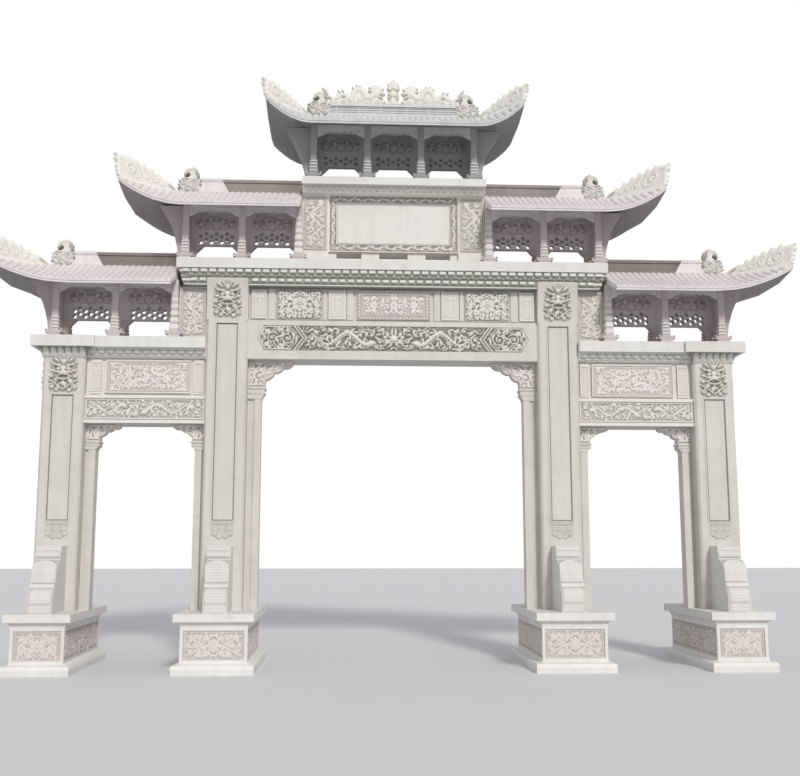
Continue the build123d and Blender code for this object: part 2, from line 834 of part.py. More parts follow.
def storey(prefix, bottom, post_places, wall_x, rows):
    """Write the posts, lintels and pierced panels of one roof storey, and give its feet and end wall."""
    top = bottom + storey_height
    middles = [(a + b) / 2 for a, b in zip(post_places, post_places[1:])]
    panel_end = post_places[-1] - end_wall_thickness / 2
    panel_start = -panel_end if wall_x is None else wall_x
    panel = pierced_panel(panel_start, panel_end, bottom, top, middles, rows)
    posts = []
    lintels = []
    for y in (-post_row, post_row):
        posts += [post(x, y, bottom, top) for x in post_places]
        lintels += [lintel(a, b, top, y) for a, b in zip(post_places, post_places[1:])]
    feet = [panel_foot(x, bottom, 1, 1) for x in post_places[1:-1]]
    feet += [panel_foot(panel_start, bottom, 0, 1), panel_foot(panel_end, bottom, 1, 0)]
    if wall_x is not None:
        posts += [mirrored(piece) for piece in posts]
        lintels += [mirrored(piece) for piece in lintels]
        feet += [mirrored(piece) for piece in feet]
        write_piece(f"{prefix}_panels", panel, mirrored(panel))
    else:
        write_piece(f"{prefix}_panels", panel)
    write_piece(f"{prefix}_posts", *posts)
    write_piece(f"{prefix}_lintels", *lintels)
    wall = end_wall(post_places[-1], bottom, top)
    return feet, [wall, mirrored(wall)]


# Roof storeys
top_end = plaque_end - top_post_inset
mid_start = plaque_end + post_width / 2
mid_end = slab_end - mid_post_inset
low_start = shoulder_end + post_width / 2
low_end = capital_end - low_post_inset
top_posts = [-top_end, -top_end / 3, top_end / 3, top_end]
mid_posts = [mid_start, (mid_start + mid_end) / 2, mid_end]
low_posts = [low_start, (low_start + low_end) / 2, low_end]
all_feet = []
all_walls = []
for prefix, bottom, places, wall_x, rows in (
    ("top", plaque_slab_top, top_posts, None, 3),
    ("mid", slab_top, mid_posts, plaque_end, 4),
    ("low", bay_slab_top, low_posts, shoulder_end, 4),
):
    feet, walls = storey(prefix, bottom, places, wall_x, rows)
    all_feet += feet
    all_walls += walls
write_piece("panel_feet", *all_feet)
write_piece("end_walls", *all_walls)

# Roofs with their corner scrolls, ridges and beasts
top_eave = plaque_slab_top + storey_height - eave_drop
mid_eave = slab_top + storey_height - eave_drop
low_eave = bay_slab_top + storey_height - eave_drop
top_form = RoofForm(top_eave, top_end + top_roof_reach, top_lift_run, top_hip_run, top_fin_top)
mid_form = RoofForm(mid_eave, mid_end + side_roof_reach, mid_lift_run, side_hip_run, mid_fin_top)
low_form = RoofForm(low_eave, low_end + side_roof_reach, low_lift_run, side_hip_run, low_fin_top)
scrolls = []
beasts = []

for name, form, inner, ridge_inner in (
    ("mid", mid_form, plaque_end + 5, plaque_end + 5),
    ("low", low_form, slab_end + 5, mid_end + end_wall_foot + 0.1 * end_wall_flare),
):
    roof = form.body(inner)
    write_piece(f"{name}_roof_right", roof)
    write_piece(f"{name}_roof_left", mirrored(roof))
    scrolls += seated_scrolls(form, roof)
    crown_z = form.eave + crown_rise
    ridge = ridge_bar(ridge_inner, form.hip_start, crown_z)
    write_piece(f"{name}_ridges", ridge, mirrored(ridge))
    beasts.append(ridge_beast(form.hip_start, crown_z + ridge_height - beast_sink))

half_roof = top_form.body(0)
write_piece("top_roof", half_roof, mirrored(half_roof))
scrolls += seated_scrolls(top_form, half_roof)
top_crown = top_form.eave + crown_rise
half_ridge = ridge_bar(0, top_form.hip_start, top_crown)
write_piece("top_ridge", half_ridge, mirrored(half_ridge))
beasts.append(ridge_beast(top_form.hip_start, top_crown + ridge_height - beast_sink))
write_piece("corner_scrolls", *scrolls, *[mirrored(piece) for piece in scrolls])
write_piece("ridge_beasts", *beasts, *[mirrored(piece) for piece in beasts])

ridge_top = top_crown + ridge_height
dragon = ridge_dragon(2 * finial_radius, top_form.hip_start - beast_length, ridge_top)
write_piece("ridge_dragons", dragon, mirrored(dragon))
write_piece("ridge_finial", finial(ridge_top))
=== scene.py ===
import random
from math import atan2, cos, hypot, pi, radians, sin, sqrt

import bpy
import numpy as np
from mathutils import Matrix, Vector


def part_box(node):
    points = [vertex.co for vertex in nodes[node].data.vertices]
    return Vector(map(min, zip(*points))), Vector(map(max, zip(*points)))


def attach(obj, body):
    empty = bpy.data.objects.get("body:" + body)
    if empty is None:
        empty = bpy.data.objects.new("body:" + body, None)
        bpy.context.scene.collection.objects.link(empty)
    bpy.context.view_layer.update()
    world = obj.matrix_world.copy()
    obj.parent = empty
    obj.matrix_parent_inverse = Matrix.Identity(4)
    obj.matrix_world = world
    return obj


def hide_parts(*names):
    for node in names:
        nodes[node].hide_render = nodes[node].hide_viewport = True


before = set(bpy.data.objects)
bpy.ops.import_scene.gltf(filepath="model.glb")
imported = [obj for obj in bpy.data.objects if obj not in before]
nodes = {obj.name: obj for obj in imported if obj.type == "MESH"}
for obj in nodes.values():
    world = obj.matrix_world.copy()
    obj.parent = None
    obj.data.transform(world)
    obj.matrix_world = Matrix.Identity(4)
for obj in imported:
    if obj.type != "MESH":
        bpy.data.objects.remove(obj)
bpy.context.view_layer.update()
gateway = dict(
    innerPier=2.45, outerPier=4.78, innerPlinth=1.1, outerPlinth=0.91, plinthReach=1.1, dieInset=0.098,
)
innerPier = gateway["innerPier"]
outerPier = gateway["outerPier"]
plinths = ((innerPier, gateway["innerPlinth"]), (outerPier, gateway["outerPlinth"]))  # place and width
quarters = ((1, 1), (1, -1), (-1, 1), (-1, -1))  # both ways along one axis for both along the other
corners = ((-1, -1), (1, -1), (1, 1), (-1, 1))  # once round
print("frame loaded:", len(nodes), "nodes")


# Small tools for colours and shader trees

def tone(red, green, blue):  # a colour as it is seen, 0 to 255, for a shader socket
    parts = []
    for value in (red, green, blue):
        share = value / 255
        parts.append(share / 12.92 if share <= 0.04045 else ((share + 0.055) / 1.055) ** 2.4)
    return (*parts, 1.0)


class Wire:  # one socket of a shader tree, used in plain expressions
    def __init__(self, tree, socket=None):
        self.tree = tree
        self.socket = socket

    def make(self, kind, settings=None, inputs=None, output=0):
        node = self.tree.nodes.new("ShaderNode" + kind)
        for name, value in (settings or {}).items():
            if name == "stops":
                ramp = node.color_ramp
                while len(ramp.elements) < len(value):
                    ramp.elements.new(1.0)
                for element, (position, color) in zip(ramp.elements, value):
                    element.position = position
                    element.color = color
            else:
                setattr(node, name, value)
        for name, value in (inputs or {}).items():
            if isinstance(value, Wire):
                self.tree.links.new(value.socket, node.inputs[name])
            else:
                node.inputs[name].default_value = value
        return Wire(self.tree, node.outputs[output])

    def maths(self, operation, *values, clamp=False):
        return self.make("Math", {"operation": operation, "use_clamp": clamp}, dict(enumerate(values)))

    def __add__(self, other):
        return self.maths("ADD", self, other)

    def __radd__(self, other):
        return self.maths("ADD", other, self)

    def __mul__(self, other):
        return self.maths("MULTIPLY", self, other)

    def __rmul__(self, other):
        return self.maths("MULTIPLY", other, self)

    def between(self, low, high):  # 0 below low, 1 above high
        return self.maths("MULTIPLY_ADD", self, 1 / (high - low), -low / (high - low), clamp=True)

    def noise(self, scale, detail, **more):
        return self.make("TexNoise", inputs={"Vector": self, "Scale": scale, "Detail": detail, **more})

    def stretched(self, x, y, z):
        return self.make("VectorMath", {"operation": "MULTIPLY"}, {0: self, 1: (x, y, z)})

    def mixed(self, first, second):  # first where this is 0, second where it is 1
        return self.make("Mix", {"data_type": "RGBA"}, {0: self, 6: first, 7: second}, output=2)


# Stone finishes, all procedural

# body, clouds, streaks and the painted shade of the hollows as seen, roughness, how dark the painted shade on
# the undersides is, and the height above which the stone is grey
finishes = {
    "cap_stone": ((234, 232, 229), (226, 222, 218), (219, 215, 210), (176, 171, 165), 0.72, 0.1),
    "pier_stone": ((212, 208, 201), (220, 215, 209), (201, 195, 186), (132, 125, 116), 0.62, 0.1),
    "carved_stone": ((233, 228, 221), (236, 230, 225), (222, 217, 208), (104, 98, 90), 0.78, 0.3),
    "slab_stone": ((231, 229, 224), (224, 221, 215), (215, 211, 204), (150, 144, 136), 0.7, 0.3),
    "grey_roof_stone": ((221, 221, 221), (211, 211, 211), (200, 200, 200), (140, 139, 138), 0.82, 0.8),
    "rose_roof_stone": ((238, 230, 230), (231, 221, 222), (220, 210, 211), (160, 149, 150), 0.82, 0.8),
    "ornament_stone": ((243, 239, 231), (237, 232, 224), (230, 225, 216), (100, 93, 84), 0.76, 0.1),
    # fin_stone is a brighter copy of the ornament stone: painted light on the corner fins
    "fin_stone": ((252, 249, 243), (249, 245, 238), (246, 242, 235), (176, 169, 156), 0.76, 0.05),
    "foot_stone": ((243, 240, 236), (238, 235, 230), (232, 229, 224), (176, 171, 165), 0.72, 0.1),
    # the storey finishes are darker copies of the roof stone: partly the stone's own darker tone, partly
    # painted shade under the eaves; end_storey is darker again as painted shade
    "grey_storey": ((174, 173, 172), (163, 162, 161), (151, 150, 149), (92, 91, 90), 0.85, 0.3),
    "rose_storey": ((216, 204, 204), (204, 192, 193), (188, 176, 177), (120, 109, 110), 0.85, 0.3),
    "end_storey": ((204, 192, 192), (193, 181, 182), (178, 166, 167), (120, 109, 110), 0.85, 0.3, 6.95),
    "pale_cornice": ((240, 237, 230), (234, 231, 224), (222, 217, 209), (130, 123, 114), 0.75, 0.0),
    # cornice_stone: greenish grey, darkened partly as painted shade of the gaps between the cornice's blocks
    "cornice_stone": ((172, 171, 161), (184, 183, 174), (157, 156, 146), (92, 91, 81), 0.8, 0.4),
    "cove_stone": ((212, 208, 201), (218, 214, 208), (198, 193, 185), (104, 100, 92), 0.8, 0.4),
    "pink_panel": ((240, 233, 229), (237, 228, 225), (229, 221, 216), (150, 140, 134), 0.78, 0.1),
    "plinth_panel": ((228, 219, 215), (224, 213, 210), (218, 209, 204), (158, 148, 142), 0.78, 0.1),
    "low_ridge_side": ((144, 134, 130), (128, 118, 114), (156, 148, 144), (98, 90, 86), 0.85, 0.2),
    "ridge_side": ((160, 151, 147), (142, 133, 128), (176, 168, 164), (104, 96, 92), 0.85, 0.2),
}
stoneLook = dict(
    streaks=0.75, specks=0.45, grain=0.3, speckTone=0.9, underShadeTone=0.5, greyTone=0.78, hollowShadeFloor=0.72,
    sheen=0.35, bump=0.35, bumpDepth=0.004, rainRun=(9.0, 9.0, 0.7),
)


def stoneFinish(name, body, cloud, streak, dust, roughness, under, greyFrom=None):
    material = bpy.data.materials.new(name)
    material.use_nodes = True
    tree = material.node_tree
    shader = tree.nodes["Principled BSDF"]
    wire = Wire(tree)
    place = wire.make("TexCoord", output="Object")
    clouds = place.noise(1.1, 4.0, Roughness=0.6)
    patches = place.noise(7.0, 5.0, Roughness=0.62, Distortion=0.4)
    rain = place.stretched(*stoneLook["rainRun"]).noise(1.0, 3.0)
    grain = place.noise(95.0, 2.0)
    chisel = place.noise(240.0, 1.0)
    hollow = wire.make("Attribute", {"attribute_name": "dust"}, output="Fac")
    speck = tone(*[value * stoneLook["speckTone"] for value in body])
    shade = tone(*[value * stoneLook["underShadeTone"] for value in body])
    color = clouds.between(0.38, 0.66).mixed(tone(*body), tone(*cloud))
    color = (rain.between(0.5, 0.78) * stoneLook["streaks"]).mixed(color, tone(*streak))
    color = (patches.between(0.52, 0.8) * stoneLook["specks"]).mixed(color, speck)
    color = (grain.between(0.3, 0.8) * stoneLook["grain"]).mixed(color, speck)
    # painted shade in the hollows of the relief, from the mesh attribute that marks them
    depth = hollow * (stoneLook["hollowShadeFloor"] + patches * 0.4)
    color = depth.maths("MINIMUM", depth, 1.0).mixed(color, tone(*dust))
    # painted shade on faces that look down, as strong as under
    down = wire.make("SeparateXYZ", inputs={0: wire.make("NewGeometry", output="Normal")}, output="Z") * -1.0
    color = (down.between(0.1, 0.55) * under).mixed(color, shade)
    if greyFrom:
        height = wire.make("SeparateXYZ", inputs={0: place}, output="Z")
        high = height.between(greyFrom, greyFrom + 0.05)
        color = high.mixed(color, wire.make("RGBToBW", inputs={0: color}) * stoneLook["greyTone"])
    rise = grain * 0.6 + chisel * 0.4 + patches * 1.5
    bump = wire.make("Bump", inputs={
        "Height": rise, "Strength": stoneLook["bump"], "Distance": stoneLook["bumpDepth"],
    })
    rough = patches * 0.18 + (roughness - 0.08)
    for result, name in ((color, "Base Color"), (rough, "Roughness"), (bump, "Normal")):
        tree.links.new(result.socket, shader.inputs[name])
    shader.inputs["Specular IOR Level"].default_value = stoneLook["sheen"]
    return material


materials = {name: stoneFinish(name, *values) for name, values in finishes.items()}

nodeFinishes = {  # the nodes of each finish, by the longest start that matches a node's name
    "cap_stone": "inner_plinths outer_plinths drum_stones",
    "pier_stone": "inner_piers outer_piers jamb_posts corbels beam_center frieze_center",
    "carved_stone": "bay_beams bay_friezes shoulders plaque plaque_feet plaque_posts pier_masks",
    "cornice_stone": "cornice_center",
    "pale_cornice": "bay_cornices plaque_cornice",
    "slab_stone": "slab_center bay_slabs plaque_slab capitals",
    "grey_roof_stone": "top_roof top_ridge",
    "grey_storey": "top_",
    "rose_roof_stone": "mid_roof low_roof",
    "ridge_side": "mid_ridges",
    "low_ridge_side": "low_ridges",
    "rose_storey": "mid_ low_",
    "end_storey": "end_walls panel_feet",
    "ornament_stone": "corner_scrolls ridge_",
}
finishOf = {start: finish for finish, starts in nodeFinishes.items() for start in starts.split()}
for nodeName, node in nodes.items():
    key = max((start for start in finishOf if nodeName.startswith(start)), key=len)
    for place in node.material_slots:
        place.material = materials[finishOf[key]]
print("finishes made:", len(materials))


# Mesh tools: Stock gathers a piece, Carving raises relief on a grid

class Stock:  # points and faces of one piece, gathered before its mesh is made
    def __init__(self):
        self.points = []
        self.faces = []
        self.dust = []
        self.count = 0

    def add(self, points, faces, dust=None):
        points = np.asarray(points, float)
        self.points.append(points)
        self.faces += [tuple(index + self.count for index in face) for face in faces]
        self.dust.append(np.zeros(len(points)) if dust is None else np.asarray(dust, float))
        self.count += len(points)

    def block(self, low, high, bevel=0.0):
        (x0, y0, z0), (x1, y1, z1) = low, high
        b = bevel
        if b == 0:
            points = [(x, y, z) for z in (z0, z1) for x, y in ((x0, y0), (x1, y0), (x1, y1), (x0, y1))]
            self.add(
                points, [(3, 2, 1, 0), (4, 5, 6, 7), (0, 1, 5, 4), (1, 2, 6, 5), (2, 3, 7, 6), (3, 0, 4, 7)],
            )
            return
        rings = []
        for z, inset in ((z0, b), (z0 + b, 0), (z1 - b, 0), (z1, b)):
            ring = [(x0 + b, y0 + inset), (x1 - b, y0 + inset), (x1 - inset, y0 + b), (x1 - inset, y1 - b)]
            ring += [(x1 - b, y1 - inset), (x0 + b, y1 - inset), (x0 + inset, y1 - b), (x0 + inset, y0 + b)]
            rings.append([(x, y, z) for x, y in ring])
        self.loft(rings)

    # rings with the same number of points, in order
    def loft(self, rings, capped=True, looped=False, dust=0.0):
        size = len(rings[0])
        count = len(rings)
        faces = []
        for step in range(count if looped else count - 1):
            above = (step + 1) % count * size
            for side in range(size):
                after = (side + 1) % size
                faces.append((step * size + side, step * size + after, above + after, above + side))
        if capped and not looped:
            faces.append(tuple(reversed(range(size))))
            faces.append(tuple(range((count - 1) * size, count * size)))
        points = [point for ring in rings for point in ring]
        self.add(points, faces, np.full(len(points), dust))

    def build(self, name, finish, slot, body="root", sharp=38, replaces=()):
        mesh = bpy.data.meshes.new(name)
        mesh.from_pydata(np.concatenate(self.points).tolist(), [], self.faces)
        dust = mesh.attributes.new("dust", "FLOAT", "POINT")
        dust.data.foreach_set("value", np.concatenate(self.dust).astype(np.float32))
        mesh.polygons.foreach_set("use_smooth", [True] * len(mesh.polygons))
        mesh.set_sharp_from_angle(angle=radians(sharp))
        mesh.materials.append(materials[finish])
        mesh.validate()
        piece = bpy.data.objects.new(name, mesh)
        bpy.context.scene.collection.objects.link(piece)
        if replaces:
            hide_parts(*replaces)
        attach(piece, body)
        print(f"{name}: {sum(len(face) - 2 for face in self.faces)} triangles")


def smoothed(values, rounds=2):  # each value averaged with its neighbours on the grid
    for _ in range(rounds):
        padded = np.pad(values, 1, mode="edge")
        near = padded[:-2, 1:-1] + padded[2:, 1:-1] + padded[1:-1, :-2] + padded[1:-1, 2:]
        values = (near + 4 * values) / 8
    return values


def lengthsAlong(path):  # way along a path from its start to each of its points
    steps = np.hypot(*np.diff(path, axis=0).T)
    return np.concatenate([[0], np.cumsum(steps)])


def pointAt(path, along, distance):  # the point of a path at this way along it
    return np.interp(distance, along, path[:, 0]), np.interp(distance, along, path[:, 1])


def aimed(x, y, reach, angle):  # the point at this reach and angle from x, y
    return x + reach * cos(angle), y + reach * sin(angle)


class Carving:  # relief on a grid, raised by strokes of round section
    def __init__(self, width, height, cell, seed=1):
        self.width = width
        self.height = height
        self.cell = cell
        self.across = max(3, round(width / cell) + 1)
        self.up = max(3, round(height / cell) + 1)
        self.x = np.linspace(-width / 2, width / 2, self.across)
        self.y = np.linspace(-height / 2, height / 2, self.up)
        self.gridX, self.gridY = np.meshgrid(self.x, self.y)
        self.relief = np.zeros_like(self.gridX)
        self.cover = np.full_like(self.gridX, -9.0)  # way inside the strokes' edge, for plates
        self.bare = np.zeros_like(self.gridX)  # 1 where no painted shade lies
        self.pits = np.zeros_like(self.gridX)  # painted shade of its own, beside that of the hollows
        self.dice = random.Random(seed)

    def window(self, x, y, radius):
        stepX = self.x[1] - self.x[0]
        stepY = self.y[1] - self.y[0]
        i0 = max(0, int((x - radius - self.x[0]) / stepX))
        i1 = min(self.across, int((x + radius - self.x[0]) / stepX) + 2)
        j0 = max(0, int((y - radius - self.y[0]) / stepY))
        j1 = min(self.up, int((y + radius - self.y[0]) / stepY) + 2)
        return slice(j0, max(j0, j1)), slice(i0, max(i0, i1))

    def dab(self, x, y, radius, lift, base=0.0):
        reach = radius + 3 * self.cell
        area = self.window(x, y, reach)
        if area[0].start >= area[0].stop or area[1].start >= area[1].stop:
            return
        gap = np.hypot(self.gridX[area] - x, self.gridY[area] - y)
        rise = base + lift * np.sqrt(np.clip(1 - (gap / radius) ** 2, 0, 1))
        inside = gap < radius
        self.relief[area] = np.where(inside, np.maximum(self.relief[area], rise), self.relief[area])
        self.cover[area] = np.maximum(self.cover[area], radius - gap)

    def dabs(self, spots, lift, base=0.0):  # spots as x, y and radius
        for spot in spots:
            self.dab(*spot, lift, base)

    def stroke(self, path, radius, lift, endRadius=None, base=0.0):
        endRadius = radius if endRadius is None else endRadius
        path = np.asarray(path, float)
        along = lengthsAlong(path)
        count = max(2, int(along[-1] / (0.45 * max(self.cell, 0.5 * min(radius, endRadius)))) + 1)
        for share in np.linspace(0, 1, count):
            x, y = pointAt(path, along, share * along[-1])
            size = radius + (endRadius - radius) * share
            self.dab(x, y, size, lift * (0.55 + 0.45 * size / max(radius, endRadius)), base)

    def groove(self, path, radius, depth):
        path = np.asarray(path, float)
        along = lengthsAlong(path)
        cut = np.zeros_like(self.relief)
        for share in np.linspace(0, 1, max(2, int(along[-1] / (0.5 * self.cell)) + 1)):
            x, y = pointAt(path, along, share * along[-1])
            area = self.window(x, y, radius + self.cell)
            gap = np.hypot(self.gridX[area] - x, self.gridY[area] - y)
            cut[area] = np.maximum(cut[area], depth * np.clip(1 - (gap / radius) ** 2, 0, 1))
        self.relief -= cut

    def curl(self, x, y, size, start, hand, thick, lift, turns=1.35):
        path = []
        for step in range(27):
            share = step / 26
            angle = start + hand * turns * 2 * pi * share
            path.append(aimed(x, y, size * (1 - 0.86 * share), angle))
        self.stroke(path, thick, lift, 0.75 * thick)
        self.dab(x, y, 1.5 * thick, 1.15 * lift)

    def leaf(self, x, y, angle, length, width, lift, bend=0.4):
        for step in range(13):
            share = step / 12
            breadth = 0.5 * width * sin(pi * min(0.97, 0.12 + 0.86 * share))
            self.dab(*aimed(x, y, length * share, angle + bend * share), max(self.cell * 0.7, breadth), lift)

    def flower(self, x, y, size, petals, lift):
        for reach, wide, shift in ((0.7, 0.29, 0), (0.36, 0.17, 0.5)):  # outer and inner petals
            for petal in range(petals):
                angle = 2 * pi * (petal + shift) / petals
                self.dab(*aimed(x, y, reach * size, angle), wide * size, lift * (1.15 - 0.3 * reach))
        self.dab(x, y, 0.2 * size, 1.25 * lift)

    def drawn(self, extent, edge, size):  # a random place along one side, for a figure of this size
        if extent <= 2 * (edge + size):
            return 0.0
        return self.dice.uniform(-extent / 2 + edge + size, extent / 2 - edge - size)

    def fill(self, sizes, lift, tries=900, edge=0.0, leafy=0.35):  # curls and leaves in what is still empty
        for size in sizes:
            for _ in range(tries):
                x = self.drawn(self.width, edge, size)
                y = self.drawn(self.height, edge, size)
                area = self.window(x, y, 0.8 * size)
                near = np.hypot(self.gridX[area] - x, self.gridY[area] - y) < 0.8 * size
                if near.any() and self.relief[area][near].max() > 0.12 * lift:
                    continue
                start = self.dice.uniform(0, 2 * pi)
                hand = self.dice.choice((-1, 1))
                if self.dice.random() < leafy:
                    foot = aimed(x, y, -size, start)
                    self.leaf(*foot, start, 2 * size, 0.95 * size, 0.9 * lift)
                else:
                    self.curl(x, y, size, start, hand, max(0.27 * size, 0.8 * self.cell), lift)

    def border(self, inset, width, lift):  # a flat moulding round the edge
        edgeGap = np.minimum(self.width / 2 - abs(self.gridX), self.height / 2 - abs(self.gridY))
        on = (edgeGap >= inset - 1e-6) & (edgeGap <= inset + width)
        self.relief = np.where(on, np.maximum(self.relief, lift), self.relief)

    def mirror(self):  # the left half takes the right half's relief
        kept = self.relief * (self.gridX >= 0)
        self.relief = np.maximum(kept, kept[:, ::-1])
        right = np.where(self.gridX >= -1e-9, self.cover, -9.0)
        self.cover = np.maximum(right, right[:, ::-1])

    def hollows(self, deep, dark):  # painted shade: high in the deep gaps of the relief and on its low ground, 0 on its heights
        local = np.clip(1.7 * (smoothed(self.relief, 10) - self.relief) / deep, 0, 1)
        ground = np.clip(1 - self.relief / (0.5 * deep), 0, 1)
        return np.clip(np.maximum((0.5 * ground + 0.7 * local) * dark, self.pits), 0, 1) * (1 - self.bare)

    def pit(self, x, y, radius):  # a spot painted in full shade
        gap = np.hypot(self.gridX - x, self.gridY - y)
        self.pits = np.maximum(self.pits, np.clip(1.6 * (1 - gap / radius), 0, 1))

    # a closed slab, laid by place(x, y, out)
    def sheet(self, stock, place, deep, dark=1.0, back=0.006, skin=0.0025):
        relief = np.maximum(smoothed(self.relief, 1), 0.0)
        dust = self.hollows(deep, dark)
        rows, columns = relief.shape
        spots = zip(self.gridX.ravel(), self.gridY.ravel(), relief.ravel())
        points = [place(x, y, out + skin) for x, y, out in spots]
        faces = []
        hand = handOf(place)
        for j in range(rows - 1):
            for i in range(columns - 1):
                a = j * columns + i
                faces.append((a, a + 1, a + 1 + columns, a + columns)[::hand])
        rim = list(range(columns))  # once round the edge of the grid
        rim += [j * columns + columns - 1 for j in range(1, rows)]
        rim += [(rows - 1) * columns + i for i in range(columns - 2, -1, -1)]
        rim += [j * columns for j in range(rows - 2, 0, -1)]
        start = len(points)
        for index in rim:
            points.append(place(self.gridX.flat[index], self.gridY.flat[index], -back))
        size = len(rim)
        for step in range(size):
            after = (step + 1) % size
            faces.append((rim[step], start + step, start + after, rim[after])[::hand])
        faces.append(range(start, start + size)[::-hand])
        stock.add(points, faces, np.concatenate([dust.ravel(), np.zeros(size)]))

    # cut out along the strokes' edge
    def plate(self, stock, place, thick, deep, dark=1.0, both=True, back=0.0):
        relief = smoothed(self.relief, 1)
        dust = self.hollows(deep, dark)
        cover = smoothed(self.cover, 1)
        rows, columns = relief.shape
        index = {}
        points = []
        marks = []
        edges = {}
        faces = []
        hand = handOf(place)

        def corner(j, i):
            key = (j, i)
            if key not in index:
                index[key] = len(points)
                points.append((self.x[i], self.y[j], relief[j, i]))
                marks.append(dust[j, i])
            return index[key]

        def crossing(j0, i0, j1, i1):
            key = (j0, i0, j1, i1) if (j0, i0) < (j1, i1) else (j1, i1, j0, i0)
            if key not in index:
                a = cover[key[0], key[1]]
                b = cover[key[2], key[3]]
                share = min(0.98, max(0.02, a / (a - b)))
                index[key] = len(points)
                x = self.x[key[1]] + (self.x[key[3]] - self.x[key[1]]) * share
                y = self.y[key[0]] + (self.y[key[2]] - self.y[key[0]]) * share
                points.append((x, y, 0.0))
                marks.append(0.0)
            return index[key]

        for j in range(rows - 1):
            for i in range(columns - 1):
                ring = ((j, i), (j, i + 1), (j + 1, i + 1), (j + 1, i))
                values = [cover[spot] for spot in ring]
                if max(values) <= 0:
                    continue
                polygon = []
                for side in range(4):
                    here = ring[side]
                    there = ring[(side + 1) % 4]
                    if cover[here] > 0:
                        polygon.append(corner(*here))
                    if (cover[here] > 0) != (cover[there] > 0):
                        polygon.append(crossing(*here, *there))
                if len(polygon) > 2:
                    faces.append(polygon)
        for polygon in faces:  # what stays in edges is the outline
            for a, b in zip(polygon, polygon[1:] + polygon[:1]):
                if (b, a) in edges:
                    del edges[(b, a)]
                else:
                    edges[(a, b)] = True
        count = len(points)
        front = [place(x, y, thick / 2 + out) for x, y, out in points]
        rear = [place(x, y, -thick / 2 - out if both else -back) for x, y, out in points]
        allFaces = []
        for polygon in faces:
            allFaces.append(polygon[::hand])
            allFaces.append([vertex + count for vertex in polygon][::-hand])
        for a, b in edges:
            allFaces.append((a, a + count, b + count, b)[::hand])
        stock.add(front + rear, allFaces, marks + marks)


def handOf(place):  # 1 where x, y and out make a right-handed frame, else -1
    origin = Vector(place(0, 0, 0))
    x = Vector(place(1, 0, 0)) - origin
    y = Vector(place(0, 1, 0)) - origin
    out = Vector(place(0, 0, 1)) - origin
    return 1 if x.cross(y).dot(out) > 0 else -1


def onFront(cx, cz, face, side=1, way=1):  # side 1 is the front, -1 the back; way -1 mirrors in x
    def place(x, y, out):
        return (cx + way * x, -side * (face + out), cz + y)
    return place


def onFlank(cx, face, cy, cz, way=1):  # a face that looks along x, to the right with way 1
    def place(x, y, out):
        return (cx + way * (face + out), cy + x, cz + y)
    return place


# Roofs: the tiles are broad ribs that follow the slopes and the hipped ends

roofLook = dict(
    halfDepth=0.92, rim=0.05, crown=0.475, sag=0.026, ridge=0.08, endSag=0.095, lift=0.35, hipInset=0.06,
    tipRise=0.014,
)
slopeShares = (0, 0.35, 0.7, 1)  # where a section has its points, from the eave to the crown
stationShares = (0, 0.25, 0.45, 0.61, 0.75, 0.88, 1)  # where the upturned corner has its sections
roofForms = {
    "top": dict(
        eave=7.81, outer=1.905, liftRun=0.68, hipRun=0.6, inner=0.0, finTop=0.665, finish="grey_roof_stone",
    ),
    "mid": dict(
        eave=6.54, outer=3.99, liftRun=0.9, hipRun=0.745, inner=1.385, finTop=0.74, finish="rose_roof_stone",
    ),
    "low": dict(
        eave=5.37, outer=5.83, liftRun=1.18, hipRun=0.745, inner=3.195, finTop=0.72, finish="rose_roof_stone",
    ),
}


def roofSection(form, x):  # points up the front slope at x, from the eave to the middle of the crown
    look = roofLook
    along = max(0.0, min(1.0, (x - form["outer"] + form["liftRun"]) / form["liftRun"]))
    base = form["eave"] + look["lift"] * along ** 2
    hip = max(0.0, min(1.0, (x - form["outer"] + form["hipRun"]) / form["hipRun"]))
    half = look["ridge"] + (look["halfDepth"] - look["hipInset"] - look["ridge"]) * hip
    top = form["eave"] + look["crown"] + (look["lift"] + look["rim"] + look["tipRise"] - look["crown"]) * hip
    top -= 4 * look["endSag"] * 0.4 * hip * (1 - hip)
    rim = base + look["rim"]
    points = [(-look["halfDepth"], rim)]
    for share in slopeShares[1:3]:
        y = -look["halfDepth"] + (look["halfDepth"] - half) * share
        points.append((y, rim + (top - rim) * share - look["sag"] * (1 - hip)))
    points.append((-half, top))
    points.append((0.0, top - look["endSag"] * hip ** 2))
    return np.array(points)


def roofStations(form):
    start = form["outer"] - form["liftRun"]
    places = [form["inner"]] if form["inner"] < start - 0.001 else []
    places += [start + (form["liftRun"] - 0.001) * share for share in stationShares]
    places.append(form["outer"] - form["hipRun"])
    return sorted(set(places))


def roofLine(form, x):  # the same section as the solid has at x, straight between its stations
    stations = roofStations(form)
    x = min(max(x, stations[0]), stations[-1])
    after = next(k for k in range(1, len(stations)) if stations[k] >= x - 1e-9)
    a = stations[after - 1]
    b = stations[after]
    share = (x - a) / (b - a)
    return roofSection(form, a) * (1 - share) + roofSection(form, b) * share


def roofPoint(form, x, share):  # 0 at the eave, 1 at the crown's edge
    line = roofLine(form, x)[:4]
    return Vector((x, *pointAt(line, slopeShares, share)))


def crownHeight(form, x, y):  # height of the hipped end at x and y
    line = roofLine(form, x)
    half = -line[3][0]
    return line[3][1] + (line[4][1] - line[3][1]) * (1 - min(1.0, abs(y) / half))


tiles = dict(pitch=0.092, radius=0.0425, rise=0.030, sides=6, sunk=0.005, nose=0.018, foot=0.55)
rimProfile = (  # out and up, round the smooth edge
    (-0.03, -0.02), (-0.03, 0.002), (-0.012, 0.009), (0.004, 0.007), (0.011, -0.004), (0.008, -0.022),
)


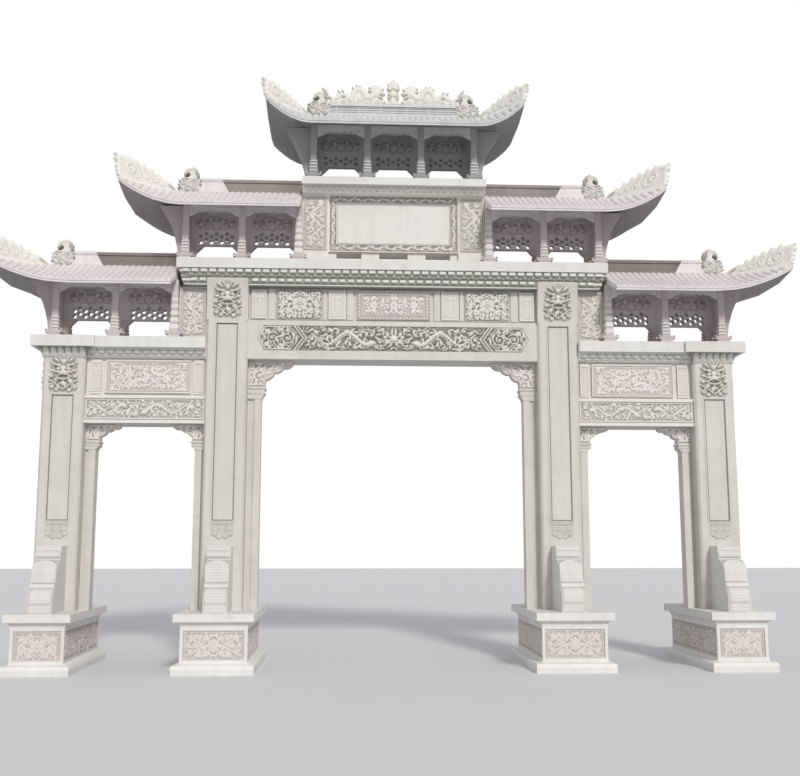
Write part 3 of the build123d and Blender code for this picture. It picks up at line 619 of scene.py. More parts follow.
def rib(stock, path, sideways):  # broad low rib along a path, rounded at its foot and its head
    rings = []
    last = len(path) - 1
    for step, point in enumerate(path):
        run = (path[min(last, step + 1)] - path[max(0, step - 1)]).normalized()
        side = sideways[step]
        side = (side - run * side.dot(run)).normalized()
        up = side.cross(run)
        if up.z < 0:
            up = -up
        share = tiles["foot"] if step in (0, last) else 1.0
        ring = []
        for k in range(tiles["sides"] + 1):
            angle = pi * k / tiles["sides"]
            across = side * tiles["radius"] * share * cos(angle)
            rise = tiles["rise"] * share * sin(angle) ** 0.8 - tiles["sunk"]
            ring.append(tuple(point + across + up * rise))
        rings.append(ring)
    stock.loft(rings)


def rimRoll(stock, path, outwards):  # smooth edge that the ribs run into
    rings = []
    for point in path:
        rings.append([tuple(point + outwards * out + Vector((0, 0, rise))) for out, rise in rimProfile])
    stock.loft(rings)


def flipped(points, faces, x=1, y=1):
    turned = np.asarray(points, float) * (x, y, 1)
    return turned, [face[::-1] for face in faces] if x * y < 0 else faces


def slopeRibs(form):  # the ribs up a quarter of the roof, from its middle outwards
    ribs = Stock()
    pitch = tiles["pitch"]
    outer = form["outer"]
    first = form["inner"] + (0.5 * pitch if form["inner"] > 0 else 0.0)
    for number in range(int((outer - 0.05 - first) / pitch) + 1):
        x = first + number * pitch
        hip = max(0.0, (x - outer + form["hipRun"]) / form["hipRun"])
        shares = [0, 0.025, *np.linspace(0.12, 0.9, 6 if hip < 0.6 else 3), 0.95, 0.975]
        path = [roofPoint(form, x, share) for share in shares]
        sideways = []
        for share in shares:
            after = roofPoint(form, min(x + 0.02, outer - 0.002), share)
            sideways.append(after - roofPoint(form, x - 0.02, share))
        path[0] += Vector((0, -tiles["nose"] * 0.4, 0))
        rib(ribs, path, sideways)
    return ribs


def endRibs(form):  # the ribs down a hipped end
    ribs = Stock()
    outer = form["outer"]
    rows = int(2 * 0.8 / tiles["pitch"])
    hipDepth = roofLook["halfDepth"] - roofLook["hipInset"] - roofLook["ridge"]
    for number in range(rows + 1):
        y = (number - rows / 2) * tiles["pitch"]
        share = max(0.0, (abs(y) - roofLook["ridge"]) / hipDepth)
        start = outer - form["hipRun"] * (1 - share) + 0.03
        if outer - start < 0.06:  # too short for a rib
            continue
        path = [Vector((x, y, crownHeight(form, x, y))) for x in np.linspace(start, outer + 0.006, 7)]
        sideways = []
        for point in path:
            x = min(point.x, outer)
            rise = crownHeight(form, x, y + 0.02) - crownHeight(form, x, y - 0.02)
            sideways.append(Vector((0, 0.04, rise)))
        rib(ribs, path, sideways)
    return ribs


def coverRoof(name, form):
    outer = form["outer"]
    ribs = slopeRibs(form)
    ribPoints = np.concatenate(ribs.points)
    ribSize = len(ribs.points[0])
    ends = endRibs(form)
    endPoints = np.concatenate(ends.points)
    frontRim = Stock()
    places = np.linspace(form["inner"], outer - 0.004, 34)
    rimRoll(frontRim, [roofPoint(form, x, 0.0) for x in places], Vector((0, -1, 0)))
    endRim = Stock()
    edge = roofLook["halfDepth"] - 0.05
    path = [
        Vector((outer - 0.004, y, crownHeight(form, outer, y) - 0.006))
        for y in np.linspace(-edge, edge, 20)
    ]
    rimRoll(endRim, path, Vector((1, 0, 0)))
    stock = Stock()
    for x in (1, -1):
        stock.add(*flipped(endRim.points[0], endRim.faces, x, 1))
        for y in (1, -1):
            stock.add(*flipped(frontRim.points[0], frontRim.faces, x, y))
    for x in (1, -1):
        for y in (1, -1):
            if x < 0 and form["inner"] == 0:  # the middle rib of the top roof stands once
                rest = [[index - ribSize for index in face] for face in ribs.faces if min(face) >= ribSize]
                stock.add(*flipped(ribPoints[ribSize:], rest, x, y))
            else:
                stock.add(*flipped(ribPoints, ribs.faces, x, y))
        stock.add(*flipped(endPoints, ends.faces, x, 1))
    stock.build(f"{name}_tiles", form["finish"], form["finish"])


for formName, form in roofForms.items():
    coverRoof(formName, form)
print("roofs tiled")


# Corner scrolls that stand on the hips

finLook = dict(cell=0.0128, thick=0.055, lift=0.022, start=0.45, flank=0.78, low=-0.22, base=0.33)
finCrest = (
    (0.0, 0.0), (0.1, 0.14), (0.2, 0.29), (0.4, 0.58), (0.6, 0.81), (0.8, 0.96), (0.92, 1.0), (1.06, 0.93),
)


def finCarving(hipRun, finTop):
    length = hypot(hipRun, finLook["flank"])
    work = Carving(length + 0.26, 0.5, finLook["cell"], seed=5)
    left = -work.width / 2 + 0.06
    low = finLook["low"]
    lift = finLook["lift"]

    def foot(s):
        return 0.44 - 0.026 * s - 0.152 * s * (1 - s) - 0.03

    def crest(s):
        return finLook["start"] + (finTop - finLook["start"]) * np.interp(s, *zip(*finCrest))

    def spot(s, v):  # share along the hip and height above the eave
        return (left + length * s, low + v - finLook["base"])

    share = (work.gridX - left) / length
    height = work.gridY - low + finLook["base"]
    lean = share - 0.2 * np.clip(height - 0.42, 0, 1)  # the outer edge leans outwards as it rises
    inside = np.minimum(height - foot(share), crest(lean) - height)
    inside = np.minimum(inside, (1.0 - lean) * length)
    inside = np.minimum(inside, (share + 0.01) * length)
    work.cover = inside
    body = np.clip(inside / 0.025, 0, 1)
    work.relief = 0.3 * lift * body
    band = height - foot(share)  # a plain foot band that the scrolls stand on
    work.relief += 0.35 * lift * np.exp(-((band - 0.05) / 0.011) ** 2) * (share > 0.12) * body
    work.relief += 0.4 * lift * np.exp(-((inside - 0.02) / 0.012) ** 2) * (band > 0.07)
    middle = [(s, 0.5 * (foot(s) + crest(s)) + 0.02) for s in (0.79, 0.57, 0.43, 0.31)]
    x, y = spot(*middle[0])  # slanted oval cartouche near the tip, with a curl in it
    long = 0.115
    oval = []
    for turn in np.linspace(0, 2 * pi, 50):
        oval.append((x + long * cos(turn), y + 0.072 * sin(turn) + 0.35 * long * cos(turn)))
    work.stroke(oval, 0.013, 1.1 * lift)
    work.curl(x + 0.01, y, 0.046, 0.4, 1, 0.014, 1.2 * lift, turns=1.3)
    work.leaf(x - 0.085, y - 0.04, 1.2, 0.055, 0.026, lift)
    for (s, v), size, hand in zip(middle[1:], (0.05, 0.042, 0.034), (-1, 1, -1)):
        x, y = spot(s, v)
        work.curl(x, y, size, 0.9, hand, 0.014, 1.15 * lift, turns=1.1)
        work.leaf(x + 1.1 * size, y + 0.5 * size, 0.6, 1.5 * size, 0.6 * size, 0.9 * lift)
        work.leaf(x - 0.9 * size, y - 0.3 * size, 3.6, 1.1 * size, 0.5 * size, 0.8 * lift)
    slot = [spot(0.1, 0.455), spot(0.17, 0.475), spot(0.2, 0.50)]  # under the low end's hook
    work.groove([(px, py + 0.012) for px, py in slot], 0.02, 1.2 * lift)
    hook = [spot(0.02, 0.45), spot(0.1, float(crest(0.1)) - 0.005), spot(0.2, float(crest(0.2)) + 0.004)]
    work.stroke(hook, 0.015, lift)
    for number in range(6):  # broad cloud-shaped cusps along the crest
        s = 0.26 + 0.125 * number
        x, y = spot(s, float(crest(s)) - 0.022)
        work.dab(x, y, 0.042 + 0.003 * number, 0.4 * lift, base=0.25 * lift)
    x, y = spot(1.02, finTop - 0.035)  # the forked tip
    work.stroke([(x - 0.04, y - 0.01), (x + 0.02, y + 0.012), (x + 0.06, y + 0.05)], 0.026, 0.8 * lift, 0.009)
    work.stroke(
        [(x - 0.03, y - 0.075), (x + 0.03, y - 0.055), (x + 0.062, y - 0.025)], 0.024, 0.7 * lift, 0.008,
    )
    for number in range(3):  # small cusps down the outer edge
        s = 1.0 + 0.2 * (0.17 - 0.06 * number)
        x, y = spot(s, 0.57 - 0.055 * number)
        work.dab(x - 0.006, y, 0.03, 0.4 * lift, base=0.2 * lift)
    return work, left


cornerStock = Stock()
for form in roofForms.values():
    work, left = finCarving(form["hipRun"], form["finTop"])
    start = form["outer"] - form["hipRun"]
    run = Vector((form["hipRun"], -finLook["flank"], 0)).normalized()
    out = Vector((-run.y, run.x, 0))

    def onHip(x, y, depth):
        foot = Vector((start, -roofLook["ridge"], form["eave"] + y - finLook["low"] + finLook["base"]))
        return tuple(foot + run * (x - left) + out * depth)

    fin = Stock()
    work.plate(fin, onHip, finLook["thick"], 0.02, dark=0.75)
    finPoints = np.concatenate(fin.points)
    for x, y in quarters:
        points, faces = flipped(finPoints, fin.faces, x, y)
        cornerStock.add(points, faces, np.concatenate(fin.dust))
cornerStock.build("corner_fins", "fin_stone", "ornament_stone", replaces=("corner_scrolls",))
print("corner fins carved")


# Beasts, dragons and pearl on the ridges

beastLook = dict(
    size=(0.48, 0.52, 0.0104), thick=0.1, swell=0.046, lift=0.034, length=0.32, middle=0.176, share=0.88,
    dark=0.95,
)
dragonLook = dict(size=(1.02, 0.46, 0.0105), thick=0.05, lift=0.035, place=0.6, middle=0.185, dark=0.7)
flameLook = dict(size=(0.34, 0.46, 0.008), thick=0.05, lift=0.05, middle=0.205, dark=0.7)
ridgeHeight = 0.21  # above the crown


def beastCarving():  # crouching beast: a big coiled head, open outwards, over a broad body of curling waves
    work = Carving(*beastLook["size"], seed=8)
    lift = beastLook["lift"]
    swell = beastLook["swell"]
    work.dabs(
        (
            (0.0, -0.12, 0.1), (-0.07, -0.13, 0.085), (0.08, -0.125, 0.085), (-0.1, -0.04, 0.075),
            (0.08, -0.045, 0.085), (0.0, -0.03, 0.1), (-0.115, -0.005, 0.05),
        ),
        0.4 * lift, base=swell,
    )
    work.dab(0.0, 0.125, 0.09, 0.8 * lift, base=0.5 * swell)
    work.dab(0.03, 0.05, 0.08, 0.6 * lift, base=0.8 * swell)
    head = []
    for step in range(46):  # the spiral of the head
        share = step / 45
        head.append(aimed(0.0, 0.13, 0.092 - 0.052 * share, 3.75 - 2 * pi * 1.15 * share))
    work.stroke(head, 0.03, 0.9 * lift, 0.018, base=0.6 * swell)
    work.groove([(-0.13, 0.075), (-0.07, 0.075), (-0.03, 0.1)], 0.026, 2.2 * lift)
    # painted shade inside the open coil of the head and in the mouth
    work.pit(-0.045, 0.125, 0.045)
    work.pit(-0.08, 0.075, 0.035)
    for number in range(6):  # mane over the back of the head
        angle = -0.7 + 0.4 * number
        work.leaf(*aimed(0.005, 0.125, 0.1, angle), angle + 0.5, 0.04, 0.034, 0.7 * lift, bend=0.3)
    for x, y, size, start, hand in (
        (-0.1, -0.03, 0.068, 0.9, 1), (0.085, -0.05, 0.07, 2.6, -1), (-0.045, -0.145, 0.06, 0.4, 1),
        (0.085, -0.16, 0.048, 2.8, -1),
    ):
        path = []
        for step in range(28):  # a wave that curls in on itself
            share = step / 27
            path.append(aimed(x, y, size * (1 - 0.75 * share), start + hand * 8.0 * share))
        work.stroke(path, 0.02, 1.2 * lift, 0.013, base=swell)
        # painted shade inside the curl
        work.pit(x - 0.2 * size, y - 0.1 * size, 0.018)
    # slanted folds between the waves
    for x, y in ((-0.012, 0.0), (0.0, -0.06), (-0.155, -0.12), (0.015, -0.2)):
        work.stroke([(x - 0.022, y + 0.04), (x + 0.012, y - 0.03)], 0.014, 1.1 * lift, base=swell)
    for number in range(3):  # fins down the chest and the back
        work.leaf(-0.15 - 0.008 * number, 0.0 - 0.065 * number, 2.5, 0.065, 0.045, 0.6 * lift)
        work.leaf(0.145 + 0.006 * number, 0.01 - 0.065 * number, 0.6, 0.055, 0.042, 0.6 * lift)
    return work


def ridgeDragonCarving():  # tail spike at the left, coils, and a maned head that looks at the pearl
    work = Carving(*dragonLook["size"], seed=3)
    lift = dragonLook["lift"]
    work.stroke([(-0.48, -0.2), (0.47, -0.2)], 0.028, 0.5 * lift)
    work.dabs((  # clouds that fill the foot
        (-0.42, -0.15, 0.045), (-0.33, -0.14, 0.05), (-0.24, -0.13, 0.06), (-0.13, -0.13, 0.06),
        (-0.02, -0.12, 0.07),
        (0.09, -0.12, 0.065), (0.2, -0.12, 0.07), (0.31, -0.12, 0.075), (0.4, -0.15, 0.05),
    ), 0.35 * lift, base=0.1 * lift)
    work.dabs(
        (
            (-0.24, -0.06, 0.05), (0.06, -0.03, 0.085), (0.0, -0.06, 0.06), (0.14, -0.06, 0.06),
            (0.27, -0.05, 0.06),
        ),
        0.3 * lift, base=0.1 * lift,
    )
    body = [
        (-0.4, -0.06), (-0.34, -0.1), (-0.27, -0.09), (-0.2, -0.03), (-0.13, -0.04), (-0.1, -0.1),
        (-0.05, -0.1),
    ]
    body += [
        (-0.02, 0.0), (0.04, 0.06), (0.1, 0.055), (0.15, -0.01), (0.18, -0.07), (0.25, -0.06), (0.31, -0.01),
    ]
    work.stroke(body, 0.026, 1.1 * lift, 0.048)
    for x, y in ((-0.23, 0.0), (-0.17, 0.01), (-0.01, 0.06), (0.05, 0.095), (0.11, 0.09), (0.17, 0.03)):
        work.leaf(x, y, 1.9, 0.055, 0.034, 0.55 * lift)
    work.leaf(-0.41, -0.06, 1.7, 0.2, 0.05, 0.8 * lift, bend=0.6)
    work.leaf(-0.42, -0.08, 2.7, 0.09, 0.03, 0.7 * lift)
    work.dab(0.34, 0.0, 0.068, 1.2 * lift)
    work.stroke([(0.36, 0.01), (0.45, 0.0)], 0.04, 1.1 * lift, 0.026)
    work.stroke([(0.35, -0.045), (0.43, -0.065)], 0.024, 0.9 * lift, 0.014)
    work.groove([(0.47, -0.035), (0.39, -0.03)], 0.013, 0.9 * lift)
    work.dab(0.37, 0.03, 0.016, 1.5 * lift)
    mane = ((2.8, 0.13), (2.35, 0.14), (1.95, 0.125), (1.55, 0.12), (1.15, 0.115), (0.75, 0.12), (0.3, 0.14))
    for angle, reach in mane:  # and horns
        work.leaf(0.33, 0.02, angle, reach, 0.05, 0.8 * lift, bend=0.2)
    for x, y, size, hand in (
        (-0.33, -0.16, 0.035, 1), (-0.18, -0.13, 0.042, -1), (-0.04, -0.16, 0.04, 1), (0.08, -0.1, 0.048, -1),
        (0.22, -0.15, 0.042, 1), (0.34, -0.13, 0.042, -1), (0.44, -0.15, 0.032, 1),
    ):
        work.curl(x, y, size, 0.4, hand, 0.012, lift)
    return work


def flameCarving():  # two lobes of flame over a stem, one above the other, and a split tip
    work = Carving(*flameLook["size"], seed=4)
    lift = flameLook["lift"]
    for y, half, thick in ((-0.195, 0.1, 0.02), (-0.165, 0.075, 0.016)):
        work.stroke([(-half, y), (half, y)], thick, 0.7 * lift)
    work.stroke([(0.0, -0.17), (0.0, -0.09)], 0.056, 0.8 * lift, 0.042)
    work.dab(0.0, -0.035, 0.07, 1.2 * lift)
    work.dab(0.0, 0.075, 0.078, 0.8 * lift)
    work.dab(0.0, 0.06, 0.036, 1.4 * lift)
    for way in (-1, 1):
        for x, y, angle, reach in (
            (0.035, -0.11, 0.25, 0.075), (0.045, -0.045, 0.7, 0.07), (0.05, 0.035, 0.45, 0.075),
            (0.055, 0.075, 0.95, 0.095), (0.022, 0.12, 1.3, 0.08),
        ):
            turn = angle if way > 0 else pi - angle
            work.leaf(way * x, y, turn, reach, 0.038, 0.8 * lift, bend=0.5 * way)
        work.curl(way * 0.045, -0.135, 0.026, 1.2, way, 0.01, lift)
        work.curl(way * 0.05, 0.035, 0.028, 0.6, way, 0.01, 1.1 * lift)
        # painted shade between the flame's lobes
        work.pit(way * 0.05, 0.005, 0.018)
        work.pit(way * 0.04, -0.09, 0.016)
    work.stroke([(0.0, 0.11), (0.0, 0.195)], 0.03, 0.9 * lift, 0.008)
    return work


def shrunk(place, share):  # the same place for a smaller carving
    return lambda x, y, out: place(share * x, share * y, out)


pearlProfile = (  # height above the ridge and radius
    (0.0, 0.075), (0.03, 0.08), (0.045, 0.055), (0.09, 0.034), (0.13, 0.046), (0.165, 0.06), (0.2, 0.064),
    (0.235, 0.055), (0.27, 0.034), (0.29, 0.015),
)

beastStock = Stock()
beast = beastCarving()
for form in roofForms.values():
    centre = form["outer"] - form["hipRun"] - beastLook["length"] / 2
    height = form["eave"] + roofLook["crown"] + beastLook["middle"]
    for way in (1, -1):
        place = shrunk(onFront(way * centre, height, 0.0, way=-way), beastLook["share"])
        beast.plate(beastStock, place, beastLook["thick"], 0.03, dark=beastLook["dark"])
beastStock.build("ridge_beast_carvings", "slab_stone", "ornament_stone", replaces=("ridge_beasts",))

ridgeTop = roofForms["top"]["eave"] + roofLook["crown"] + ridgeHeight
dragonStock = Stock()
dragon = ridgeDragonCarving()
for way in (1, -1):
    place = onFront(way * dragonLook["place"], ridgeTop + dragonLook["middle"], 0.0, way=-way)
    dragon.plate(dragonStock, place, dragonLook["thick"], 0.025, dark=dragonLook["dark"])
dragonStock.build("ridge_dragon_carvings", "ornament_stone", "ornament_stone", replaces=("ridge_dragons",))

flameStock = Stock()
place = onFront(0.0, ridgeTop + flameLook["middle"], 0.0)
flameCarving().plate(flameStock, place, flameLook["thick"], 0.03, dark=flameLook["dark"])
pearl = []
for height, radius in pearlProfile:
    pearl.append([(*aimed(0.0, 0.0, radius, 2 * pi * k / 16), ridgeTop + height) for k in range(16)])
flameStock.loft(pearl)
flameStock.build("flaming_pearl", "ornament_stone", "ornament_stone", replaces=("ridge_finial",))
print("ridge ornaments carved")


# Carved panels of the beams, friezes and plinths

beamLook = dict(  # sizes are width, height and grid cell
    size=(4.02, 0.37, 0.0112), lift=0.034, height=4.7375, sunk=0.02, dark=1.45,
    sideSize=(1.7, 0.285, 0.0114), sideLift=0.03, sidePlace=3.615, sideHeight=3.665, sideFace=0.24,
    sideDark=0.62,
)
friezeLook = dict(
    squareSize=(0.655, 0.436, 0.0108), squareLift=0.03, squarePlace=1.401, height=5.25, dark=0.95,
    strips=((0.8425, 0.245), (2.0, 0.21)), bayStrips=((2.79, 0.14), (4.265, 0.16)), stripTall=0.43,
    stripCell=0.0115, stripLift=0.012, stripDark=0.3,
)
paleLook = dict(
    middleSize=(1.08, 0.43, 0.0112), middleLift=0.026, baySize=(1.235, 0.475, 0.0112), bayLift=0.022,
    bayPlace=3.585, bayHeight=4.145, dark=0.75,
)
# the side panels take stronger painted shade in their hollows (sideDark) than the fronts, as the sides lie in
# shade
plinthLook = dict(
    tall=0.38, cell=0.0142, lift=0.024, height=0.3765, frame=0.094, sunk=0.022, dark=0.55, sideDark=0.75,
)
reliefDepth = 0.02  # depth over which the panels' painted shade fades


def lay(work, stock, place, dark):
    work.sheet(stock, place, reliefDepth, dark=dark)


def layFront(work, stock, x, z, face, side, way, dark):  # at the same place on either half of a front
    lay(work, stock, onFront(way * x, z, face, side, way), dark)


def rosette(work, size, lift):  # flower in the middle with four sprays towards the corners
    work.flower(0, 0, 0.34 * size, 8, 1.25 * lift)
    for angle in (0.62, pi - 0.62, -0.62, pi + 0.62):
        x = 0.42 * size * cos(angle)
        y = 0.34 * size * sin(angle)
        hand = 1 if sin(2 * angle) > 0 else -1
        work.stroke([(0.5 * x, 0.5 * y), (1.6 * x, 1.5 * y)], 0.07 * size, lift, 0.03 * size)
        work.curl(1.45 * x, 1.25 * y, 0.13 * size, angle, hand, 0.028 * size, lift)
        for turn in (-0.9, 0.9):
            work.leaf(x, y, angle + turn, 0.26 * size, 0.1 * size, 0.9 * lift, bend=-turn)


def dragonOn(work, points, thick, lift):  # body with scales, fins, legs and a head at the last point
    path = np.asarray(points, float)
    steps = np.hypot(*np.diff(path, axis=0).T)
    along = np.concatenate([[0], np.cumsum(steps)]) / steps.sum()
    fine = [pointAt(path, along, share) for share in np.linspace(0, 1, 90)]
    work.stroke(fine, 0.35 * thick, lift, thick)
    for step in range(6, 86, 4):
        x, y = fine[step]
        nextX, nextY = fine[step + 1]
        turn = atan2(nextY - y, nextX - x)
        size = thick * (0.35 + 0.65 * step / 90)
        back = aimed(x, y, size, turn + 1.57)
        work.leaf(*back, turn + 2.1, 1.3 * size, 0.7 * size, 0.6 * lift)
        work.groove([aimed(x, y, -size, turn + 1.57), back], 0.011, 0.3 * lift)
    for step, side in ((24, 1), (32, -1), (58, 1), (66, -1)):
        x, y = fine[step]
        turn = atan2(fine[step + 1][1] - y, fine[step + 1][0] - x) + side * 1.2
        knee = aimed(x, y, 1.9 * thick, turn)
        work.stroke([(x, y), knee], 0.6 * thick, 0.8 * lift, 0.35 * thick)
        for claw in (-0.7, 0, 0.7):
            work.leaf(*knee, turn + claw, 1.1 * thick, 0.4 * thick, 0.7 * lift)
    x, y = fine[-1]
    turn = atan2(y - fine[-4][1], x - fine[-4][0])
    work.dab(x, y, 1.45 * thick, 1.3 * lift)
    work.stroke([(x, y), aimed(x, y, 2.0 * thick, turn + 0.25)], 0.8 * thick, 1.2 * lift, 0.5 * thick)
    work.stroke([(x, y), aimed(x, y, 1.7 * thick, turn - 0.5)], 0.5 * thick, lift, 0.3 * thick)
    for back in (2.3, 2.8, 3.3, 3.9):
        work.leaf(x, y, turn + back, 3.2 * thick, 0.6 * thick, 0.8 * lift)


def wave(x0, x1, low, high, bends, phase=0.0):  # a wavy path from x0 to x1
    points = []
    for step in range(40):
        share = step / 39
        swing = sin(phase + pi * bends * share)
        points.append((x0 + (x1 - x0) * share, (low + high) / 2 + (high - low) / 2 * swing))
    return points


def beamCarving():  # two dragons that meet at a pearl, and lattices of curls in the pointed ends
    work = Carving(*beamLook["size"], seed=21)
    lift = beamLook["lift"]
    dragonOn(work, wave(1.22, 0.34, -0.09, 0.09, 3.0, 2.2), 0.034, lift)
    work.dab(0.0, 0.0, 0.06, 1.3 * lift)
    for angle in (0.4, 1.2, 1.9, -0.4, -1.2, -1.9):
        work.leaf(*aimed(0.0, 0.0, 0.05, angle), angle, 0.12, 0.035, 0.8 * lift)
    for x, y, size in (
        (0.2, -0.12, 0.045), (0.22, 0.13, 0.04), (0.5, 0.13, 0.045), (0.75, -0.14, 0.04), (1.05, 0.13, 0.04),
        (1.2, -0.1, 0.05),
    ):
        work.curl(x, y, 1.15 * size, 0.6, 1 if y > 0 else -1, 0.0105, 0.9 * lift, turns=1.2)
    for shift in (0.0, 0.05):  # arrow-shaped division
        work.stroke([(1.42 + shift, 0.175), (1.29 + shift, 0.0), (1.42 + shift, -0.175)], 0.012, 0.75 * lift)
    for x, y, size, hand in (
        (1.575, 0.0, 0.1, 1), (1.79, 0.0, 0.088, -1), (1.665, 0.118, 0.05, -1), (1.665, -0.118, 0.05, 1),
        (1.87, 0.1, 0.04, 1), (1.87, -0.1, 0.04, -1),
    ):
        work.curl(x, y, size, 2.4, hand, 0.0125, lift, turns=1.7)
    for way in (-1, 1):  # slanting bars between the spirals
        for x in (1.49, 1.535):
            work.stroke([(x - 0.05, way * 0.07), (x + 0.045, way * 0.165)], 0.0105, 0.8 * lift)
        for x in (1.72, 1.765):
            work.stroke([(x - 0.03, way * 0.165), (x + 0.05, way * 0.08)], 0.0105, 0.8 * lift)
        work.stroke([(1.9, way * 0.02), (1.945, way * 0.05), (1.93, way * 0.09)], 0.0105, 0.8 * lift)
    for way in (1, -1):  # line along the pointed end
        work.stroke([(1.99, 0.0), (1.90, way * 0.165), (1.45, way * 0.175)], 0.011, 0.8 * lift)
    work.fill((0.04, 0.028, 0.02), 0.8 * lift, tries=700, edge=0.012, leafy=0.8)
    work.mirror()
    work.bare = (abs(work.gridX) > 2.005 - 0.5 * abs(work.gridY)) * 1.0
    work.relief *= 1 - work.bare
    return work


def sideBeamCarving():  # a long and a short dragon among sprays
    work = Carving(*beamLook["sideSize"], seed=22)
    lift = beamLook["sideLift"]
    dragonOn(work, wave(-0.72, 0.02, -0.06, 0.06, 3.2, 0.4), 0.026, lift)
    dragonOn(work, wave(0.74, 0.3, -0.05, 0.06, 2.4, 1.0), 0.024, lift)
    for x, y, size in ((0.2, 0.05, 0.05), (0.14, -0.07, 0.04), (-0.76, 0.07, 0.045), (0.78, -0.06, 0.045)):
        work.curl(x, y, size, 0.5, 1 if y > 0 else -1, 0.013, lift)
    work.fill((0.045, 0.032, 0.022), 0.85 * lift, tries=500, edge=0.02, leafy=0.7)
    work.border(0.0, 0.012, 0.6 * lift)
    return work


def sideFriezeCarving():  # landscape of clouds and sprays in a line border with corner leaves
    work = Carving(*paleLook["baySize"], seed=23)
    lift = paleLook["bayLift"]
    for x, y, size in ((-0.26, -0.03, 0.075), (0.28, 0.04, 0.085), (0.02, 0.0, 0.06)):
        work.flower(x, y, size, 7, 1.3 * lift)
    dragonOn(work, wave(-0.46, -0.05, 0.02, 0.12, 2.0, 0.2), 0.02, lift)
    dragonOn(work, wave(0.46, 0.08, -0.13, -0.03, 2.0, 2.6), 0.02, lift)
    for x in (-1, 1):
        for y in (-1, 1):
            turn = atan2(-y, -x)
            work.curl(x * 0.52, y * 0.155, 0.04, turn, x * y, 0.012, lift)
            work.leaf(x * 0.56, y * 0.19, pi if x > 0 else 0.0, 0.15, 0.035, lift, bend=0.0)
    work.fill((0.044, 0.03, 0.022), 0.9 * lift, tries=700, edge=0.045, leafy=0.5)
    work.border(0.0, 0.012, 0.9 * lift)
    work.border(0.026, 0.008, 0.7 * lift)
    return work


def squareFriezeCarving():
    work = Carving(*friezeLook["squareSize"], seed=24)
    rosette(work, 0.36, friezeLook["squareLift"])
    work.fill((0.045, 0.032, 0.024, 0.018), 0.026, tries=900, edge=0.0, leafy=0.55)
    work.mirror()
    return work


def middleFriezeCarving():
    work = Carving(*paleLook["middleSize"], seed=25)
    lift = paleLook["middleLift"]
    for x, size in ((-0.3, 0.1), (0.0, 0.12), (0.3, 0.1)):
        work.flower(x, 0.0, 0.6 * size, 8, 1.3 * lift)
        for angle in (0.5, 1.2, 1.95, 2.65, -0.5, -1.2, -1.95, -2.65):
            work.leaf(*aimed(x, 0.0, 0.55 * size, angle), angle, 0.85 * size, 0.3 * size, lift)
    work.fill((0.04, 0.028, 0.02), 0.8 * lift, tries=500, edge=0.075, leafy=0.5)
    work.mirror()
    work.border(0.055, 0.012, lift)
    for x in np.arange(-0.5, 0.501, 0.05):  # beads between the two border lines
        for y in (-0.187, 0.187):
            work.dab(x, y, 0.015, 0.7 * lift)
    for y in np.arange(-0.15, 0.151, 0.05):
        for x in (-0.512, 0.512):
            work.dab(x, y, 0.015, 0.7 * lift)
    work.border(0.0, 0.01, lift)
    return work


def stripCarving(width):  # a tall narrow panel with a hanging spray
    work = Carving(width, friezeLook["stripTall"], friezeLook["stripCell"], seed=26)
    lift = friezeLook["stripLift"]
    work.border(0.0, 0.012, lift)
    if width > 0.15:
        work.border(0.04, 0.01, 0.8 * lift)
        work.leaf(0.0, 0.1, -pi / 2, 0.1, 0.03, lift, bend=0.0)
        for hand, start in ((1, 0.0), (-1, pi)):
            work.curl(-hand * 0.03, 0.11, 0.025, start, hand, 0.009, lift)
        work.stroke([(0.0, 0.05), (0.0, -0.1)], 0.01, 0.6 * lift)
    return work


def plinthCarving(width, seed):  # a net of vines round a flower, in a thin border with cut corners
    height = plinthLook["tall"]
    work = Carving(width, height, plinthLook["cell"], seed=seed)
    lift = plinthLook["lift"]
    work.flower(0, 0, 0.1, 8, 1.25 * lift)
    repeat = max(1, round(width / 0.8))
    for number in range(repeat):
        centre = (number - (repeat - 1) / 2) * width / repeat
        for wayX in (-1, 1):
            for wayY in (-1, 1):
                hand = wayX * wayY
                reachX = 0.5 * width / repeat - 0.05
                middle = (centre + wayX * 0.45 * reachX, wayY * 0.02)
                work.stroke(
                    [(centre, wayY * 0.14), middle, (centre + wayX * reachX, wayY * 0.13)], 0.014, lift,
                )
                work.curl(
                    centre + wayX * 0.5 * reachX, wayY * 0.095, 0.05, 0.5 * pi * wayY, hand, 0.013, lift,
                )
                work.curl(centre + wayX * 0.86 * reachX, wayY * 0.07, 0.045, pi, -hand, 0.012, lift)
                turn = (0.7 if wayX > 0 else pi - 0.7) * wayY
                work.leaf(centre + wayX * 0.2 * reachX, wayY * 0.11, turn, 0.1, 0.04, lift)
    work.fill((0.046, 0.034, 0.026, 0.02), 0.85 * lift, tries=600, edge=0.024, leafy=0.65)
    work.mirror()
    for x in (-1, 1):
        for y in (-1, 1):
            work.dab(x * (width / 2 - 0.012), y * (height / 2 - 0.012), 0.04, 0.2 * lift)
    work.border(0.008, 0.014, 0.9 * lift)
    return work


# a dragon that climbs among clouds, on the plaque's posts and the shoulders
def uprightCarving(width, height, seed):
    work = Carving(width, height, 0.0115, seed=seed)
    lift = 0.03
    points = [(y, x) for x, y in wave(-0.4 * height, 0.33 * height, -0.22 * width, 0.22 * width, 3.4)]
    dragonOn(work, points, 0.03, lift)
    work.fill((0.05, 0.036, 0.024), 0.85 * lift, tries=500, edge=0.03)
    work.border(0.004, 0.012, 0.7 * lift)
    return work


beamStock = Stock()
beamRelief = beamCarving()
sideBeam = sideBeamCarving()
beamFace = -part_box("beam_center")[0].y - beamLook["sunk"]
for side in (1, -1):
    lay(beamRelief, beamStock, onFront(0.0, beamLook["height"], beamFace, side, way=side), beamLook["dark"])
    for way in (1, -1):
        layFront(
            sideBeam, beamStock, beamLook["sidePlace"], beamLook["sideHeight"], beamLook["sideFace"], side,
            way, beamLook["sideDark"],
        )
beamStock.build("beam_carvings", "carved_stone", "carved_stone")

